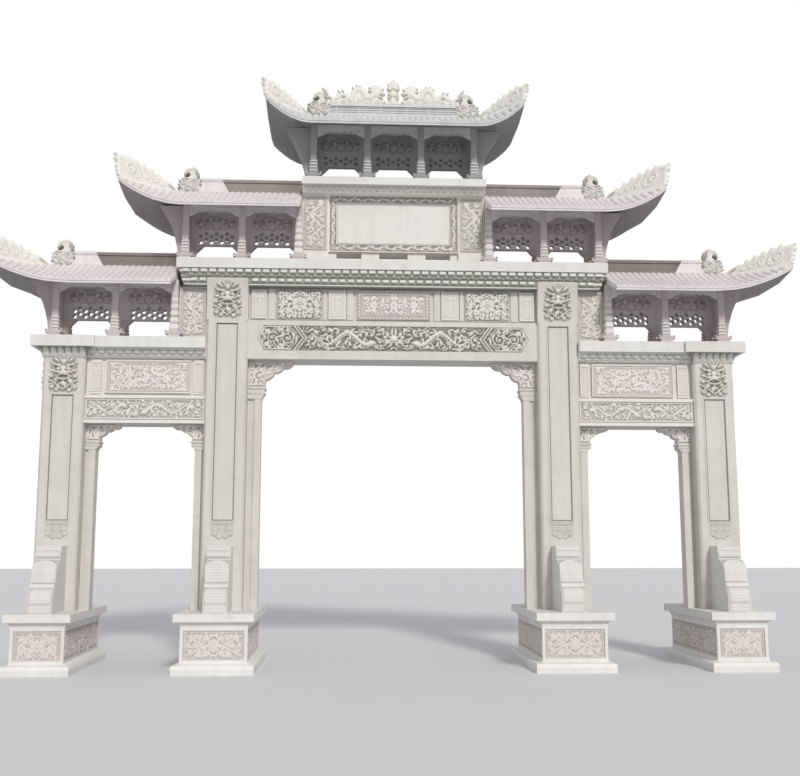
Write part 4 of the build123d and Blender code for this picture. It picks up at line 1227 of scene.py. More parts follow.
friezeStock = Stock()
paleStock = Stock()
bayPanel = sideFriezeCarving()
square = squareFriezeCarving()
middle = middleFriezeCarving()
bayFace = -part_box("bay_friezes")[0].y
friezeFace = -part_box("frieze_center")[0].y
for side in (1, -1):
    for way in (1, -1):
        layFront(
            bayPanel, paleStock, paleLook["bayPlace"], paleLook["bayHeight"], bayFace, side, way,
            paleLook["dark"],
        )
        layFront(
            square, friezeStock, friezeLook["squarePlace"], friezeLook["height"], friezeFace, side, way,
            friezeLook["dark"],
        )
        for start, width in friezeLook["bayStrips"]:
            layFront(
                stripCarving(width), friezeStock, start + width / 2, paleLook["bayHeight"], bayFace, side,
                way, friezeLook["stripDark"],
            )
        for centre, width in friezeLook["strips"]:
            layFront(
                stripCarving(width), friezeStock, centre, friezeLook["height"], friezeFace, side, way,
                friezeLook["stripDark"],
            )
    lay(middle, paleStock, onFront(0.0, friezeLook["height"], friezeFace, side), paleLook["dark"])
friezeStock.build("frieze_carvings", "carved_stone", "carved_stone")
paleStock.build("pale_frieze_carvings", "pink_panel", "carved_stone")
print("beams and friezes carved")

plinthStock = Stock()
plinthReach = gateway["plinthReach"]
plinthSide = plinthCarving(1.91, 37)
for x, width in plinths:
    die = width - 2 * gateway["dieInset"]
    plinthFront = plinthCarving(die - plinthLook["frame"], 31 + int(x))
    frontFace = plinthReach - gateway["dieInset"] - plinthLook["sunk"]
    for way, side in quarters:
        lay(
            plinthFront, plinthStock, onFront(way * x, plinthLook["height"], frontFace, side, way=side * way),
            plinthLook["dark"],
        )
        lay(
            plinthSide, plinthStock,
            onFlank(way * x, die / 2 - plinthLook["sunk"], 0.0, plinthLook["height"], side),
            plinthLook["sideDark"],
        )
plinthStock.build("plinth_carvings", "plinth_panel", "cap_stone")

footProfile = (  # rounded base moulding with a hollow above it, as out and up
    (-0.0005, 0.06), (-0.0005, 0.106), (-0.005, 0.119), (-0.017, 0.127), (-0.034, 0.129), (-0.058, 0.132),
    (-0.082, 0.141), (-0.0975, 0.16), (-0.112, 0.16), (-0.112, 0.06),
)
footStock = Stock()
for x, width in plinths:
    for way in (1, -1):
        rings = []
        for out, z in footProfile:
            rings.append(
                [(way * x + sx * (width / 2 + out), sy * (plinthReach + out), z) for sx, sy in corners]
            )
        footStock.loft(rings, looped=True)
footStock.build("plinth_feet", "foot_stone", "cap_stone")
print("plinths carved")


# Corbels: scrolls within their stepped outline, and rolls round the door posts' capitals
corbelLook = dict(
    # outline as shares of length and height
    steps=((0.0, 0.0), (0.02, 0.28), (0.33, 0.56), (0.66, 0.74), (1.0, 0.92)),
    margin=0.012, rim=0.016, face=0.085, cell=0.0118, lift=0.02, thick=0.004, dark=0.9,
)
# each door post: pier's face, way, reach, top, capital's height, underside of the beam, corbel's length
doorHeads = (
    (2.15, -1, 0.2, 3.85, 0.18, 4.42, 0.66),
    (2.75, 1, 0.15, 3.09, 0.13, 3.46, 0.48),
    (4.48, -1, 0.15, 3.09, 0.13, 3.46, 0.48),
)


def corbelCarving(reach, length, height):
    work = Carving(length, height, corbelLook["cell"], seed=91)
    lift = corbelLook["lift"]
    along = work.gridX + length / 2
    heel = (reach + 0.045) / length
    line = [(0.0, 0.0)] + [((heel + (1 - heel) * a) * length, height * b) for a, b in corbelLook["steps"]]
    foot = np.interp(along, *zip(*line))
    up = work.gridY + height / 2
    inside = np.minimum(np.minimum(0.85 * (up - foot), length - along), np.minimum(height - up, along))
    inside = inside - corbelLook["margin"]
    size = 0.3 * height
    x0 = -length / 2
    work.curl(x0 + 0.16, -0.1 * height, 0.75 * size, 1.0, 1, 0.015, lift)
    work.curl(x0 + 0.16 + 1.6 * size, 0.2 * height, 0.6 * size, 2.4, -1, 0.014, lift)
    work.curl(x0 + 0.16 + 2.8 * size, 0.3 * height, 0.45 * size, 0.6, 1, 0.012, lift)
    work.stroke(
        [(x0 + 0.05, -0.4 * height), (x0 + 0.09, 0.1 * height), (x0 + 0.2, 0.4 * height)], 0.014, lift,
    )
    for share in (0.3, 0.5, 0.7):
        work.leaf(x0 + share * length, 0.1 * height + 0.25 * share * height, 0.5, 0.11, 0.04, lift)
    work.fill((0.045, 0.032, 0.024), 0.9 * lift, tries=500, edge=0.0, leafy=0.5)
    rimmed = np.maximum(work.relief * 0.4, 0.8 * lift)
    work.relief = np.where(inside < corbelLook["rim"], rimmed, work.relief) * (inside > 0)
    work.cover = inside
    return work


corbelStock = Stock()
rollStock = Stock()
thin = corbelLook["thick"]
for face, way, reach, top, capital, under, length in doorHeads:
    foot = top + capital
    work = corbelCarving(reach, length, under - top - capital)
    rolls = (  # foot, height and how far each stands out
        (top - 0.012, 0.034, 0.01), (top + 0.45 * capital - 0.016, 0.036, 0.055),
        (foot - 0.042, 0.042, 0.062),
    )
    for mirror in (1, -1):
        centre = mirror * (face + way * length / 2)
        for side in (1, -1):
            place = onFront(centre, (under + top + capital) / 2, corbelLook["face"], side, way=way * mirror)
            work.plate(corbelStock, place, thin, reliefDepth, dark=corbelLook["dark"], both=False, back=thin)
        for z, high, proud in rolls:
            start, end = sorted((mirror * face, mirror * (face + way * (reach + proud))))
            out = 0.1 + (0.01 if proud < 0.05 else proud - 0.045)
            rollStock.block((start, -out, z), (end, out, z + high), bevel=0.012)
corbelStock.build("corbel_carvings", "pink_panel", "pier_stone")
rollStock.build("jamb_capital_rolls", "pier_stone", "pier_stone")
print("corbels carved")

# Plaque storey and shoulders
plaqueLook = dict(
    size=(1.96, 0.885, 0.0114), lift=0.02, height=6.5225, field=(0.8575, 0.32), dark=0.7,
    postSize=(0.35, 0.84), postPlace=1.18, postHeight=6.51, postDark=0.55,
    shoulderSize=(0.37, 0.74), shoulderPlace=2.96, shoulderHeight=5.105, shoulderDark=0.5,
)
tabletLook = dict(halfWidth=0.853, halfTall=0.314, height=6.53, sunk=0.03)


def plaqueBorderCarving():  # vine all round the field
    work = Carving(*plaqueLook["size"], seed=41)
    lift = plaqueLook["lift"]
    for y, way in ((0.375, 1), (-0.375, -1)):
        path = [(x, y + 0.022 * sin(9.5 * x * pi)) for x in np.linspace(-0.9, 0.9, 150)]
        work.stroke(path, 0.011, lift)
        for number in range(17):
            x = -0.86 + number * 0.1075
            hand = (-1) ** number
            work.curl(x, y - 0.012 * hand, 0.026, 0.5, way * hand, 0.009, lift)
            work.leaf(x + 0.03, y, 0.8 * hand, 0.045, 0.022, lift)
    for x in (0.915, -0.915):
        path = [(x + 0.018 * sin(9.5 * y * pi), y) for y in np.linspace(-0.34, 0.34, 60)]
        work.stroke(path, 0.011, lift)
        for number in range(7):
            y = -0.31 + number * 0.103
            work.curl(x, y, 0.024, 1.5, (-1) ** number, 0.009, lift)
            work.leaf(x, y + 0.045, 0.4, 0.04, 0.02, lift)
    work.border(0.0, 0.016, 1.1 * lift)
    edge = np.minimum(work.width / 2 - abs(work.gridX), work.height / 2 - abs(work.gridY))
    work.relief = np.where((edge > 0.108) & (edge <= 0.122), 1.15 * lift, work.relief)
    return work


def frameSheets(work, stock, place, deep, gapX, gapY, dark):  # four sheets of the relief, round an open field
    for x0, x1, y0, y1 in (
        (-9, 9, gapY, 9), (-9, 9, -9, -gapY), (-9, -gapX, -gapY, gapY), (gapX, 9, -gapY, gapY),
    ):
        columns = np.where((work.x >= x0 - 1e-6) & (work.x <= x1 + 1e-6))[0]
        rows = np.where((work.y >= y0 - 1e-6) & (work.y <= y1 + 1e-6))[0]
        area = np.ix_(rows, columns)
        part = Carving(1.0, 1.0, 0.2)
        part.x = work.x[columns]
        part.y = work.y[rows]
        part.gridX, part.gridY = np.meshgrid(part.x, part.y)
        part.relief = work.relief[area]
        part.bare = work.bare[area]
        part.pits = work.pits[area]
        part.sheet(stock, place, deep, dark=dark)


plaqueStock = Stock()
border = plaqueBorderCarving()
post = uprightCarving(*plaqueLook["postSize"], 43)
shoulder = uprightCarving(*plaqueLook["shoulderSize"], 44)
plaqueFace = -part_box("plaque")[0].y
postFace = -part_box("plaque_posts")[0].y
shoulderFace = -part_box("shoulders")[0].y
for side in (1, -1):
    place = onFront(0.0, plaqueLook["height"], plaqueFace, side)
    frameSheets(border, plaqueStock, place, 0.015, *plaqueLook["field"], plaqueLook["dark"])
    for way in (1, -1):
        layFront(
            post, plaqueStock, plaqueLook["postPlace"], plaqueLook["postHeight"], postFace, side, way,
            plaqueLook["postDark"],
        )
        layFront(
            shoulder, plaqueStock, plaqueLook["shoulderPlace"], plaqueLook["shoulderHeight"], shoulderFace,
            side, way, plaqueLook["shoulderDark"],
        )
plaqueStock.build("plaque_and_shoulder_carvings", "carved_stone", "carved_stone")

tabletStock = Stock()
for side in (1, -1):  # slightly pillowed
    rings = []
    for out, inset in ((0.0, 0.0), (0.012, 0.0), (0.018, 0.008), (0.018, 0.03)):
        x = tabletLook["halfWidth"] - inset
        y = -side * (plaqueFace - tabletLook["sunk"] + out)
        z0 = tabletLook["height"] - (tabletLook["halfTall"] - inset)
        z1 = tabletLook["height"] + (tabletLook["halfTall"] - inset)
        rings.append([(-x, y, z0), (x, y, z0), (x, y, z1), (-x, y, z1)][::side])
    tabletStock.loft(rings)
tabletStock.build("plaque_tablet", "slab_stone", "carved_stone")
print("plaque carved")


# Piers: line borders, scalloped ornaments and masks

pierLook = dict(bottom=2.035, half=0.178, face=0.32, wide=0.021, lift=0.011, line=0.018, sunk=0.306)
panelTops = ((innerPier, 4.96), (outerPier, 3.88))
ornamentLook = dict(size=(0.37, 0.28, 0.0104), lift=0.014, height=1.905, face=0.316, thick=0.008)
maskLook = dict(
    size=(0.45, 0.56, 0.0101), lift=0.05, innerHeight=5.29, outerHeight=4.165, face=0.31, flank=0.29,
)


# a raised moulding round a tall sunk panel, with a line of painted shade inside it
def panelFrame(stock, cx, z0, z1, side):
    half = pierLook["half"]
    wide = pierLook["wide"]
    lift = pierLook["lift"]
    inner = wide + pierLook["line"]

    def frameRing(inset, out):
        x0 = cx - (half - inset)
        x1 = cx + (half - inset)
        low = z0 + inset
        high = z1 - inset
        y = -side * out
        return [(x0, y, low), (x1, y, low), (x1, y, high), (x0, y, high)][::side]

    profile = (
        (0.0, -0.004), (0.0, 0.6 * lift), (0.3 * wide, lift), (0.7 * wide, lift), (wide, 0.6 * lift),
        (wide, -0.004),
    )
    stock.loft([frameRing(inset, pierLook["face"] + out) for inset, out in profile], looped=True)
    shade = ((wide, -0.004), (wide, 0.0015), (inner, 0.0015), (inner, -0.004))
    stock.loft([frameRing(inset, pierLook["sunk"] + out) for inset, out in shade], looped=True, dust=1.0)


def ornamentCarving():  # cloud-shaped plate of curls under the long panel
    work = Carving(*ornamentLook["size"], seed=51)
    lift = ornamentLook["lift"]
    work.dabs((
        (0.0, 0.06, 0.08), (-0.1, 0.06, 0.07), (0.1, 0.06, 0.07), (0.0, 0.0, 0.09), (-0.1, -0.01, 0.065),
        (0.1, -0.01, 0.065), (-0.045, -0.055, 0.055), (0.045, -0.055, 0.055),
    ), 0.0035, base=0.002)
    for way in (-1, 1):
        work.curl(way * 0.105, 0.045, 0.04, 0.5 * pi, way, 0.012, lift)
        work.curl(way * 0.115, -0.03, 0.035, 0.0 if way > 0 else pi, -way, 0.011, lift)
        work.curl(way * 0.045, -0.07, 0.033, 0.5 * pi, -way, 0.011, lift)
        work.leaf(way * 0.02, 0.02, 1.57 - way * 0.9, 0.07, 0.028, lift)
    work.flower(0.0, 0.03, 0.045, 6, lift)
    work.stroke([(-0.15, 0.115), (0.15, 0.115)], 0.012, lift)
    return work


def maskCarving():  # horned beast's face with wide brows, an open mouth and curls that meet in a point below
    work = Carving(*maskLook["size"], seed=52)
    lift = maskLook["lift"]
    work.dabs((
        (0.0, 0.11, 0.17), (-0.1, 0.12, 0.1), (0.1, 0.12, 0.1), (0.0, -0.03, 0.16), (-0.1, -0.08, 0.1),
        (0.1, -0.08, 0.1), (0.0, -0.15, 0.12), (-0.14, -0.2, 0.07), (0.14, -0.2, 0.07), (0.0, -0.2, 0.07),
    ), 0.08 * lift, base=0.06 * lift)
    for way in (-1, 1):
        brow = [(way * 0.02, 0.075), (way * 0.075, 0.12), (way * 0.15, 0.135), (way * 0.185, 0.175)]
        cheek = [(way * 0.04, 0.02), (way * 0.1, 0.015), (way * 0.155, 0.05)]
        lip = [(way * 0.01, -0.005), (way * 0.06, -0.02), (way * 0.115, -0.045)]
        beard = [(way * 0.2, -0.1), (way * 0.13, -0.13), (way * 0.06, -0.19), (0.0, -0.235)]
        work.stroke(brow, 0.03, 1.1 * lift, 0.013)
        work.leaf(way * 0.07, 0.17, 1.57 - way * 0.6, 0.11, 0.05, 0.95 * lift, bend=-0.5 * way)  # horn
        work.leaf(way * 0.03, 0.17, 1.57 - way * 0.2, 0.09, 0.036, 0.85 * lift, bend=-0.3 * way)
        work.dab(way * 0.075, 0.062, 0.033, 1.2 * lift)  # eye
        work.dab(way * 0.075, 0.062, 0.014, 1.45 * lift)
        work.stroke(cheek, 0.022, 0.95 * lift, 0.012)
        work.stroke(lip, 0.02, 1.15 * lift, 0.012)
        work.leaf(way * 0.085, -0.035, -1.57, 0.05, 0.022, 1.1 * lift, bend=0.0)  # fang
        work.leaf(way * 0.15, 0.03, 1.57 - way * 1.3, 0.07, 0.04, 0.9 * lift, bend=0.6 * way)  # ear
        work.curl(way * 0.165, -0.035, 0.036, 1.9, -way, 0.013, lift)
        work.stroke(beard, 0.018, lift, 0.013)
        work.curl(way * 0.1, -0.1, 0.03, 0.2, way, 0.012, 0.95 * lift)
        work.curl(way * 0.165, -0.19, 0.04, 1.2, way, 0.014, 0.95 * lift)
        work.curl(way * 0.085, -0.235, 0.032, 2.4, -way, 0.012, 0.9 * lift)
        work.leaf(way * 0.03, -0.13, -1.57 + way * 0.3, 0.07, 0.028, 0.9 * lift)
    work.stroke([(0.0, 0.1), (0.0, 0.03)], 0.022, 1.05 * lift, 0.034)  # nose
    for x in (-0.03, 0.0, 0.03):
        work.dab(x, 0.012, 0.022, 1.3 * lift)
    work.stroke([(-0.08, -0.066), (0.0, -0.088), (0.08, -0.066)], 0.02, 1.45 * lift)  # lower lip
    work.leaf(0.0, -0.1, -1.57, 0.09, 0.05, 0.95 * lift, bend=0.0)
    work.leaf(0.0, 0.14, 1.57, 0.09, 0.05, 0.9 * lift, bend=0.0)
    for way in (-1, 1):  # painted shade in the corners of the eyes and the mouth
        for x, y, r in (
            (0.115, 0.094, 0.034), (0.05, 0.098, 0.02), (0.035, -0.045, 0.026), (0.17, 0.085, 0.026),
        ):
            work.pit(way * x, y, r)
    return work


borderStock = Stock()
ornamentStock = Stock()
ornament = ornamentCarving()
for x, top in panelTops:
    for way, side in quarters:
        panelFrame(borderStock, way * x, pierLook["bottom"], top, side)
        place = onFront(way * x, ornamentLook["height"], ornamentLook["face"], side, way)
        ornament.plate(ornamentStock, place, ornamentLook["thick"], 0.012, both=False, back=0.006)
borderStock.build("pier_panel_borders", "pier_stone", "pier_stone")
ornamentStock.build("pier_ornaments", "cove_stone", "pier_stone")

headLook = dict(half=0.301, back=0.3, lip=5.585, top=5.605)
headCurve = (  # height and how far the inner pier's head stands out
    (4.985, 0.3212), (5.06, 0.3225), (5.2, 0.331), (5.35, 0.349), (5.47, 0.371), (5.54, 0.391),
    (5.585, 0.409),
    (5.6, 0.409), (5.608, 0.4),
)


def onHead(cx, cz, side, way):  # on the inner pier's head, which leans out before the cornice's foot
    def place(x, y, out):
        face = np.interp(cz + y, *zip(*headCurve))
        return (cx + way * x, -side * (face - 0.008 + out), cz + y)
    return place


headStock = Stock()
maskStock = Stock()
mask = maskCarving()
for way in (1, -1):
    for side in (1, -1):
        rings = []
        back = -side * headLook["back"]
        for z, out in headCurve:
            taper = 0.9 * max(0.0, z - headLook["lip"])
            half = headLook["half"] - taper - (0.012 if z > headLook["top"] else 0.0)
            x0 = way * innerPier - half
            x1 = way * innerPier + half
            rings.append([(x0, back, z), (x0, -side * out, z), (x1, -side * out, z), (x1, back, z)][::side])
        headStock.loft(rings)
        place = onHead(way * innerPier, maskLook["innerHeight"], side, way)
        mask.plate(maskStock, place, 0.02, 0.03, both=False)
        place = onFront(way * outerPier, maskLook["outerHeight"], maskLook["face"], side, way)
        mask.plate(maskStock, place, 0.02, 0.03, both=False)
    place = onFlank(way * outerPier, maskLook["flank"], 0.0, maskLook["outerHeight"], way)
    mask.plate(maskStock, place, 0.03, 0.03, both=False)
headStock.build("pier_heads", "pier_stone", "pier_stone")
maskStock.build("pier_mask_carvings", "carved_stone", "carved_stone", replaces=("pier_masks",))
print("piers dressed")


# Cornices: rows of blocks with darker lobes between them, their greenish grey partly the stone's tone and
# partly painted shade of the gaps

corniceLook = dict(pitch=0.129, plaquePitch=0.1, bayPitch=0.128, bevel=0.007, headGap=0.34, headBeadGap=0.32)
beadShares = (0.06, 0.3, 0.6, 0.86, 0.99)


def alongEdge(y0, y1, pitch):
    count = max(1, round((y1 - y0) / pitch))
    return [y0 + (y1 - y0) * (number + 0.5) / count for number in range(count)]


def frontBar(stock, x0, x1, near, far, z0, z1, side, bevel):  # a block between two depths of a front
    y0, y1 = sorted((-side * near, -side * far))
    stock.block((x0, y0, z0), (x1, y1, z1), bevel=bevel)


# Each row runs from x0 to x1 at z, stands out this far, and repeats a block or bead of this size at a pitch.
# With behind, none is set where a pier's head stands before it.

def blockRow(stock, x0, x1, z, out, high, wide, deep, pitch, side, skew=0.0, behind=False):
    for x in alongEdge(x0, x1, pitch):
        x += skew * pitch
        if x0 < x < x1 and not (behind and abs(abs(x) - innerPier) < corniceLook["headGap"]):
            low = (x - wide / 2, -side * out - (deep if side > 0 else 0.0), z)
            far = (x + wide / 2, -side * out + (0.0 if side > 0 else deep), z + high)
            stock.block(low, far, bevel=corniceLook["bevel"])


def endRow(stock, y0, y1, z, out, high, wide, deep, pitch, way):
    for y in alongEdge(y0, y1, pitch):
        low = (way * out - (0.0 if way > 0 else deep), y - wide / 2, z)
        far = (way * out + (deep if way > 0 else 0.0), y + wide / 2, z + high)
        stock.block(low, far, bevel=corniceLook["bevel"])


def beadRow(stock, x0, x1, z, out, radius, high, pitch, side, skew=0.0, behind=False):
    for x in alongEdge(x0, x1, pitch):
        x += skew * pitch
        if not x0 < x < x1 or (behind and abs(abs(x) - innerPier) < corniceLook["headBeadGap"]):
            continue
        rings = []
        for share in beadShares:
            size = radius * sqrt(1 - share ** 2)
            y = -side * (out + 0.8 * radius * share)
            ring = []
            for k in range(10):
                angle = k * pi / 5
                ring.append((x + size * cos(angle), y, z + high / radius * size * sin(angle)))
            rings.append(ring[::side])
        stock.loft(rings)


corniceStock = Stock()
lobeStock = Stock()
pitch = corniceLook["pitch"]
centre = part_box("cornice_center")
half = centre[1].x
mouth = centre[1].y  # half depth of the widest course
for side in (1, -1):
    blockRow(corniceStock, -half + 0.02, half - 0.02, 5.674, mouth - 0.03, 0.052, 0.1, 0.046, pitch, side)
    beadRow(lobeStock, -half + 0.03, half - 0.03, 5.642, mouth - 0.05, 0.046, 0.034, pitch, side, 0.5)
    beadRow(lobeStock, -half + 0.03, half - 0.03, 5.628, mouth - 0.055, 0.03, 0.022, pitch, side)
    start = -half + 0.07
    blockRow(
        corniceStock, start, half - 0.07, 5.552, mouth - 0.088, 0.046, 0.088, 0.046, pitch, side, 0.5,
        behind=True,
    )
    beadRow(lobeStock, -half + 0.1, half - 0.1, 5.56, mouth - 0.085, 0.03, 0.03, pitch, side, behind=True)
    for x0, x1 in ((-half + 0.06, -2.76), (-2.14, 2.14), (2.76, half - 0.06)):  # between the piers' heads
        frontBar(corniceStock, x0, x1, mouth - 0.12, mouth - 0.09, 5.502, 5.52, side, 0.004)
for way in (1, -1):
    for stock, z, high, reach, out in (  # the ends turn the corner up to the lower roof
        (lobeStock, 5.503, 0.046, half - 0.035, mouth - 0.098),
        (corniceStock, 5.552, 0.046, half - 0.018, mouth - 0.064),
        (lobeStock, 5.601, 0.07, half - 0.004, mouth - 0.045),
        (corniceStock, 5.674, 0.052, half + 0.008, mouth - 0.004),
    ):
        start, end = sorted((way * (reach - 0.16), way * reach))
        stock.block((start, -out, z), (end, out, z + high), bevel=0.008)
    endRow(corniceStock, -mouth + 0.02, mouth - 0.02, 5.674, half - 0.03, 0.052, 0.112, 0.046, pitch, way)
    endRow(corniceStock, -mouth + 0.08, mouth - 0.08, 5.552, half - 0.088, 0.046, 0.092, 0.046, pitch, way)
bayPitch = corniceLook["bayPitch"]
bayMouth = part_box("bay_cornices")[1].y
for side, way in quarters:
    x0, x1 = sorted((way * 2.78, way * 4.45))
    beadRow(corniceStock, x0, x1, 4.503, bayMouth - 0.034, 0.058, 0.042, bayPitch, side)
    beadRow(lobeStock, x0, x1, 4.53, bayMouth - 0.02, 0.024, 0.016, bayPitch, side, 0.5)
    for z, out in ((4.444, 0.05), (4.425, 0.075)):
        near = bayMouth - out - 0.03
        frontBar(corniceStock, x0 - 0.02, x1 + 0.02, near, bayMouth - out + 0.012, z, z + 0.013, side, 0.004)
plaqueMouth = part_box("plaque_cornice")[1].y
small = corniceLook["plaquePitch"]
for side in (1, -1):
    blockRow(corniceStock, -1.37, 1.37, 7.004, plaqueMouth - 0.012, 0.03, 0.066, 0.028, small, side)
    beadRow(corniceStock, -1.37, 1.37, 6.985, plaqueMouth - 0.03, 0.022, 0.017, small, side, 0.5)
corniceStock.build("cornice_blocks", "slab_stone", "carved_stone")
lobeStock.build("cornice_beads", "cornice_stone", "carved_stone")
print("cornices set")

# Ridges: mouldings on the top one, pale seats under the beasts of the others
ridgeLook = dict(
    seatLong=0.42, seatLean=0.12, seatTall=0.215, beastLong=0.32, beastFoot=0.13,
    dividers=3, dividerStart=0.2, dividerPitch=0.34,
    rolls=((0.066, 0.05, 0.012), (0.103, 0.05, 0.009), (0.14, 0.052, 0.012)),
    courses=(
        (0.0, 0.045, 0.09), (0.045, 0.075, 0.084), (0.075, 0.165, 0.078), (0.165, 0.185, 0.088),
        (0.185, 0.215, 0.094),
    ),
)

seatStock = Stock()
mouldStock = Stock()
for formName, form in roofForms.items():
    crown = form["eave"] + roofLook["crown"]
    end = form["outer"] - form["hipRun"]
    for way, side in quarters:
        if formName == "top":  # three thin rolls and upright divisions
            x0, x1 = sorted((0.0, way * (end - 0.325)))
            for height, out, thick in ridgeLook["rolls"]:
                z = crown + height
                frontBar(mouldStock, x0, x1, out - 0.02, out + 0.006, z, z + thick, side, 0.003)
            for number in range(ridgeLook["dividers"]):
                x = way * (ridgeLook["dividerStart"] + ridgeLook["dividerPitch"] * number)
                frontBar(
                    mouldStock, x - 0.012, x + 0.012, 0.03, 0.0535, crown + 0.052, crown + 0.16, side, 0.003,
                )
            continue
        x1 = end - 0.005
        x0 = x1 - ridgeLook["beastLong"] - ridgeLook["seatLong"]
        for z0, z1, out in ridgeLook["courses"]:
            lean0 = x0 + ridgeLook["seatLean"] * z0 / ridgeLook["seatTall"]
            lean1 = x0 + ridgeLook["seatLean"] * z1 / ridgeLook["seatTall"]
            stop = x1 if z1 < ridgeLook["beastFoot"] else x1 - ridgeLook["beastLong"]
            rings = []
            for y in (0.02, out):
                ring = [(lean0, z0), (stop, z0), (stop, z1 + 0.001), (lean1, z1 + 0.001)]
                rings.append([(way * x, -side * y, crown + z) for x, z in ring][::way * side])
            seatStock.loft(rings)
seatStock.build("ridge_beast_seats", "rose_roof_stone", "rose_roof_stone")
mouldStock.build("top_ridge_mouldings", "grey_roof_stone", "grey_roof_stone")


# Roof storeys: carved heads of the screens, small carvings on the posts' dados
storeyLook = dict(
    screenTall=0.3, screenCell=0.0138, screenLift=0.024, screenHeight=0.63, screenFace=0.045, screenGap=0.14,
    curtainTall=0.24, curtainCell=0.0132, curtainLift=0.016, curtainHeight=0.74, curtainFace=0.36,
    curtainGap=0.094,
    thick=0.006, back=0.004, postY=0.33, knobX=0.108, knobY=0.084, knobHeight=0.082,
)
storeys = {
    "top": dict(
        bottom=7.15, posts=(-1.215, -0.405, 0.405, 1.215), finish="grey_storey", slot="grey_roof_stone",
    ),
    "mid": dict(bottom=5.88, posts=(1.426, 2.258, 3.09), finish="rose_storey", slot="rose_roof_stone"),
    "low": dict(bottom=4.71, posts=(3.216, 4.073, 4.93), finish="rose_storey", slot="rose_roof_stone"),
}
postRolls = {  # number, height of the first, pitch, thickness and how much each is smaller
    "short": (4, 0.112, 0.05, 0.036, 0.003), "tall": (6, 0.1, 0.103, 0.09, 0.0045),
}
rollProfile = ((0.0, 0.012), (0.2, 0.003), (0.5, 0.0), (0.8, 0.003), (1.0, 0.012))  # share of height, inset
# height, radius
knobProfile = ((-0.012, 0.004), (-0.006, 0.016), (0.004, 0.02), (0.014, 0.016), (0.02, 0.004))


def screenCarving(width):  # a flower among curls over the honeycomb, free in outline
    work = Carving(width, storeyLook["screenTall"], storeyLook["screenCell"], seed=71)
    lift = storeyLook["screenLift"]
    work.dabs((
        (0.0, 0.0, 0.1), (0.12, 0.01, 0.09), (-0.12, 0.01, 0.09), (0.24, 0.02, 0.08), (-0.24, 0.02, 0.08),
        (0.0, 0.08, 0.07),
    ), 0.1 * lift, base=0.08 * lift)
    work.flower(0.0, 0.0, 0.062, 7, 1.2 * lift)
    for way in (-1, 1):
        work.curl(way * 0.125, -0.02, 0.052, 1.0, way, 0.014, lift)
        work.curl(way * 0.235, 0.01, 0.05, 2.0, -way, 0.013, lift)
        work.curl(way * 0.07, 0.09, 0.034, 0.5, way, 0.012, lift)
        work.leaf(way * 0.06, 0.03, 1.57 - way * 0.9, 0.12, 0.04, lift)
        work.leaf(way * 0.17, -0.06, 1.57 - way * 1.2, 0.11, 0.04, lift)
        work.leaf(way * 0.16, 0.06, 1.57 - way * 1.0, 0.12, 0.04, lift)
        # painted shade of a row of small holes
        for x in (0.055, 0.155, 0.255):
            work.pit(way * x, 0.055 + 0.02 * sin(20 * x), 0.026)
    return work


def curtainCarving(width):  # scalloped edge of the head board, with a bracket of curls at each post
    work = Carving(width, storeyLook["curtainTall"], storeyLook["curtainCell"], seed=72)
    lift = storeyLook["curtainLift"]
    along = (work.gridX + width / 2) / width
    near = np.clip(1 - (width / 2 - abs(work.gridX)) / 0.13, 0, 1)
    scallops = 0.02 * abs(np.sin(7 * pi * along)) * (near < 0.4)
    foot = 0.12 - 0.128 - 0.085 * near ** 0.7 - scallops
    inside = np.minimum(work.gridY - foot, 0.118 - work.gridY)
    work.cover = inside
    work.relief = 0.003 + 0.9 * lift * np.exp(-((inside - 0.014) / 0.009) ** 2) * (work.gridY < 0.09)
    for way in (-1, 1):
        work.curl(way * (width / 2 - 0.05), -0.035, 0.036, 1.57, way, 0.012, 1.2 * lift)
        work.leaf(way * (width / 2 - 0.1), 0.0, 1.57 + way * 1.3, 0.08, 0.03, lift)
    for x in np.arange(-0.2, 0.21, 0.1):
        work.dab(x, 0.05, 0.02, 0.8 * lift)
    return work


def chamferedSquare(half):  # eight points of a square with cut corners
    b = 0.3 * half
    ring = [(-half + b, -half), (half - b, -half), (half, -half + b), (half, half - b)]
    return ring + [(half - b, half), (-half + b, half), (-half, half - b), (-half, -half + b)]


def dressPost(stock, x, y, bottom, kind):  # a stack of rolls, and knobs at the corners of the plate below
    count, first, pitch, thick, taper = postRolls[kind]
    for level in range(count):
        z = bottom + first + level * pitch
        half = 0.070 - taper * level
        rings = []
        for rise, inset in rollProfile:
            rings.append([(x + px, y + py, z + thick * rise) for px, py in chamferedSquare(half - inset)])
        stock.loft(rings)
    for sx, sy in ((-1, -1), (1, -1), (-1, 1), (1, 1)):
        cx = x + sx * storeyLook["knobX"]
        cy = y + sy * storeyLook["knobY"]
        rings = []
        for height, radius in knobProfile:
            z = bottom + storeyLook["knobHeight"] + height
            rings.append([(*aimed(cx, cy, radius, k * pi / 4), z) for k in range(8)])
        stock.loft(rings)


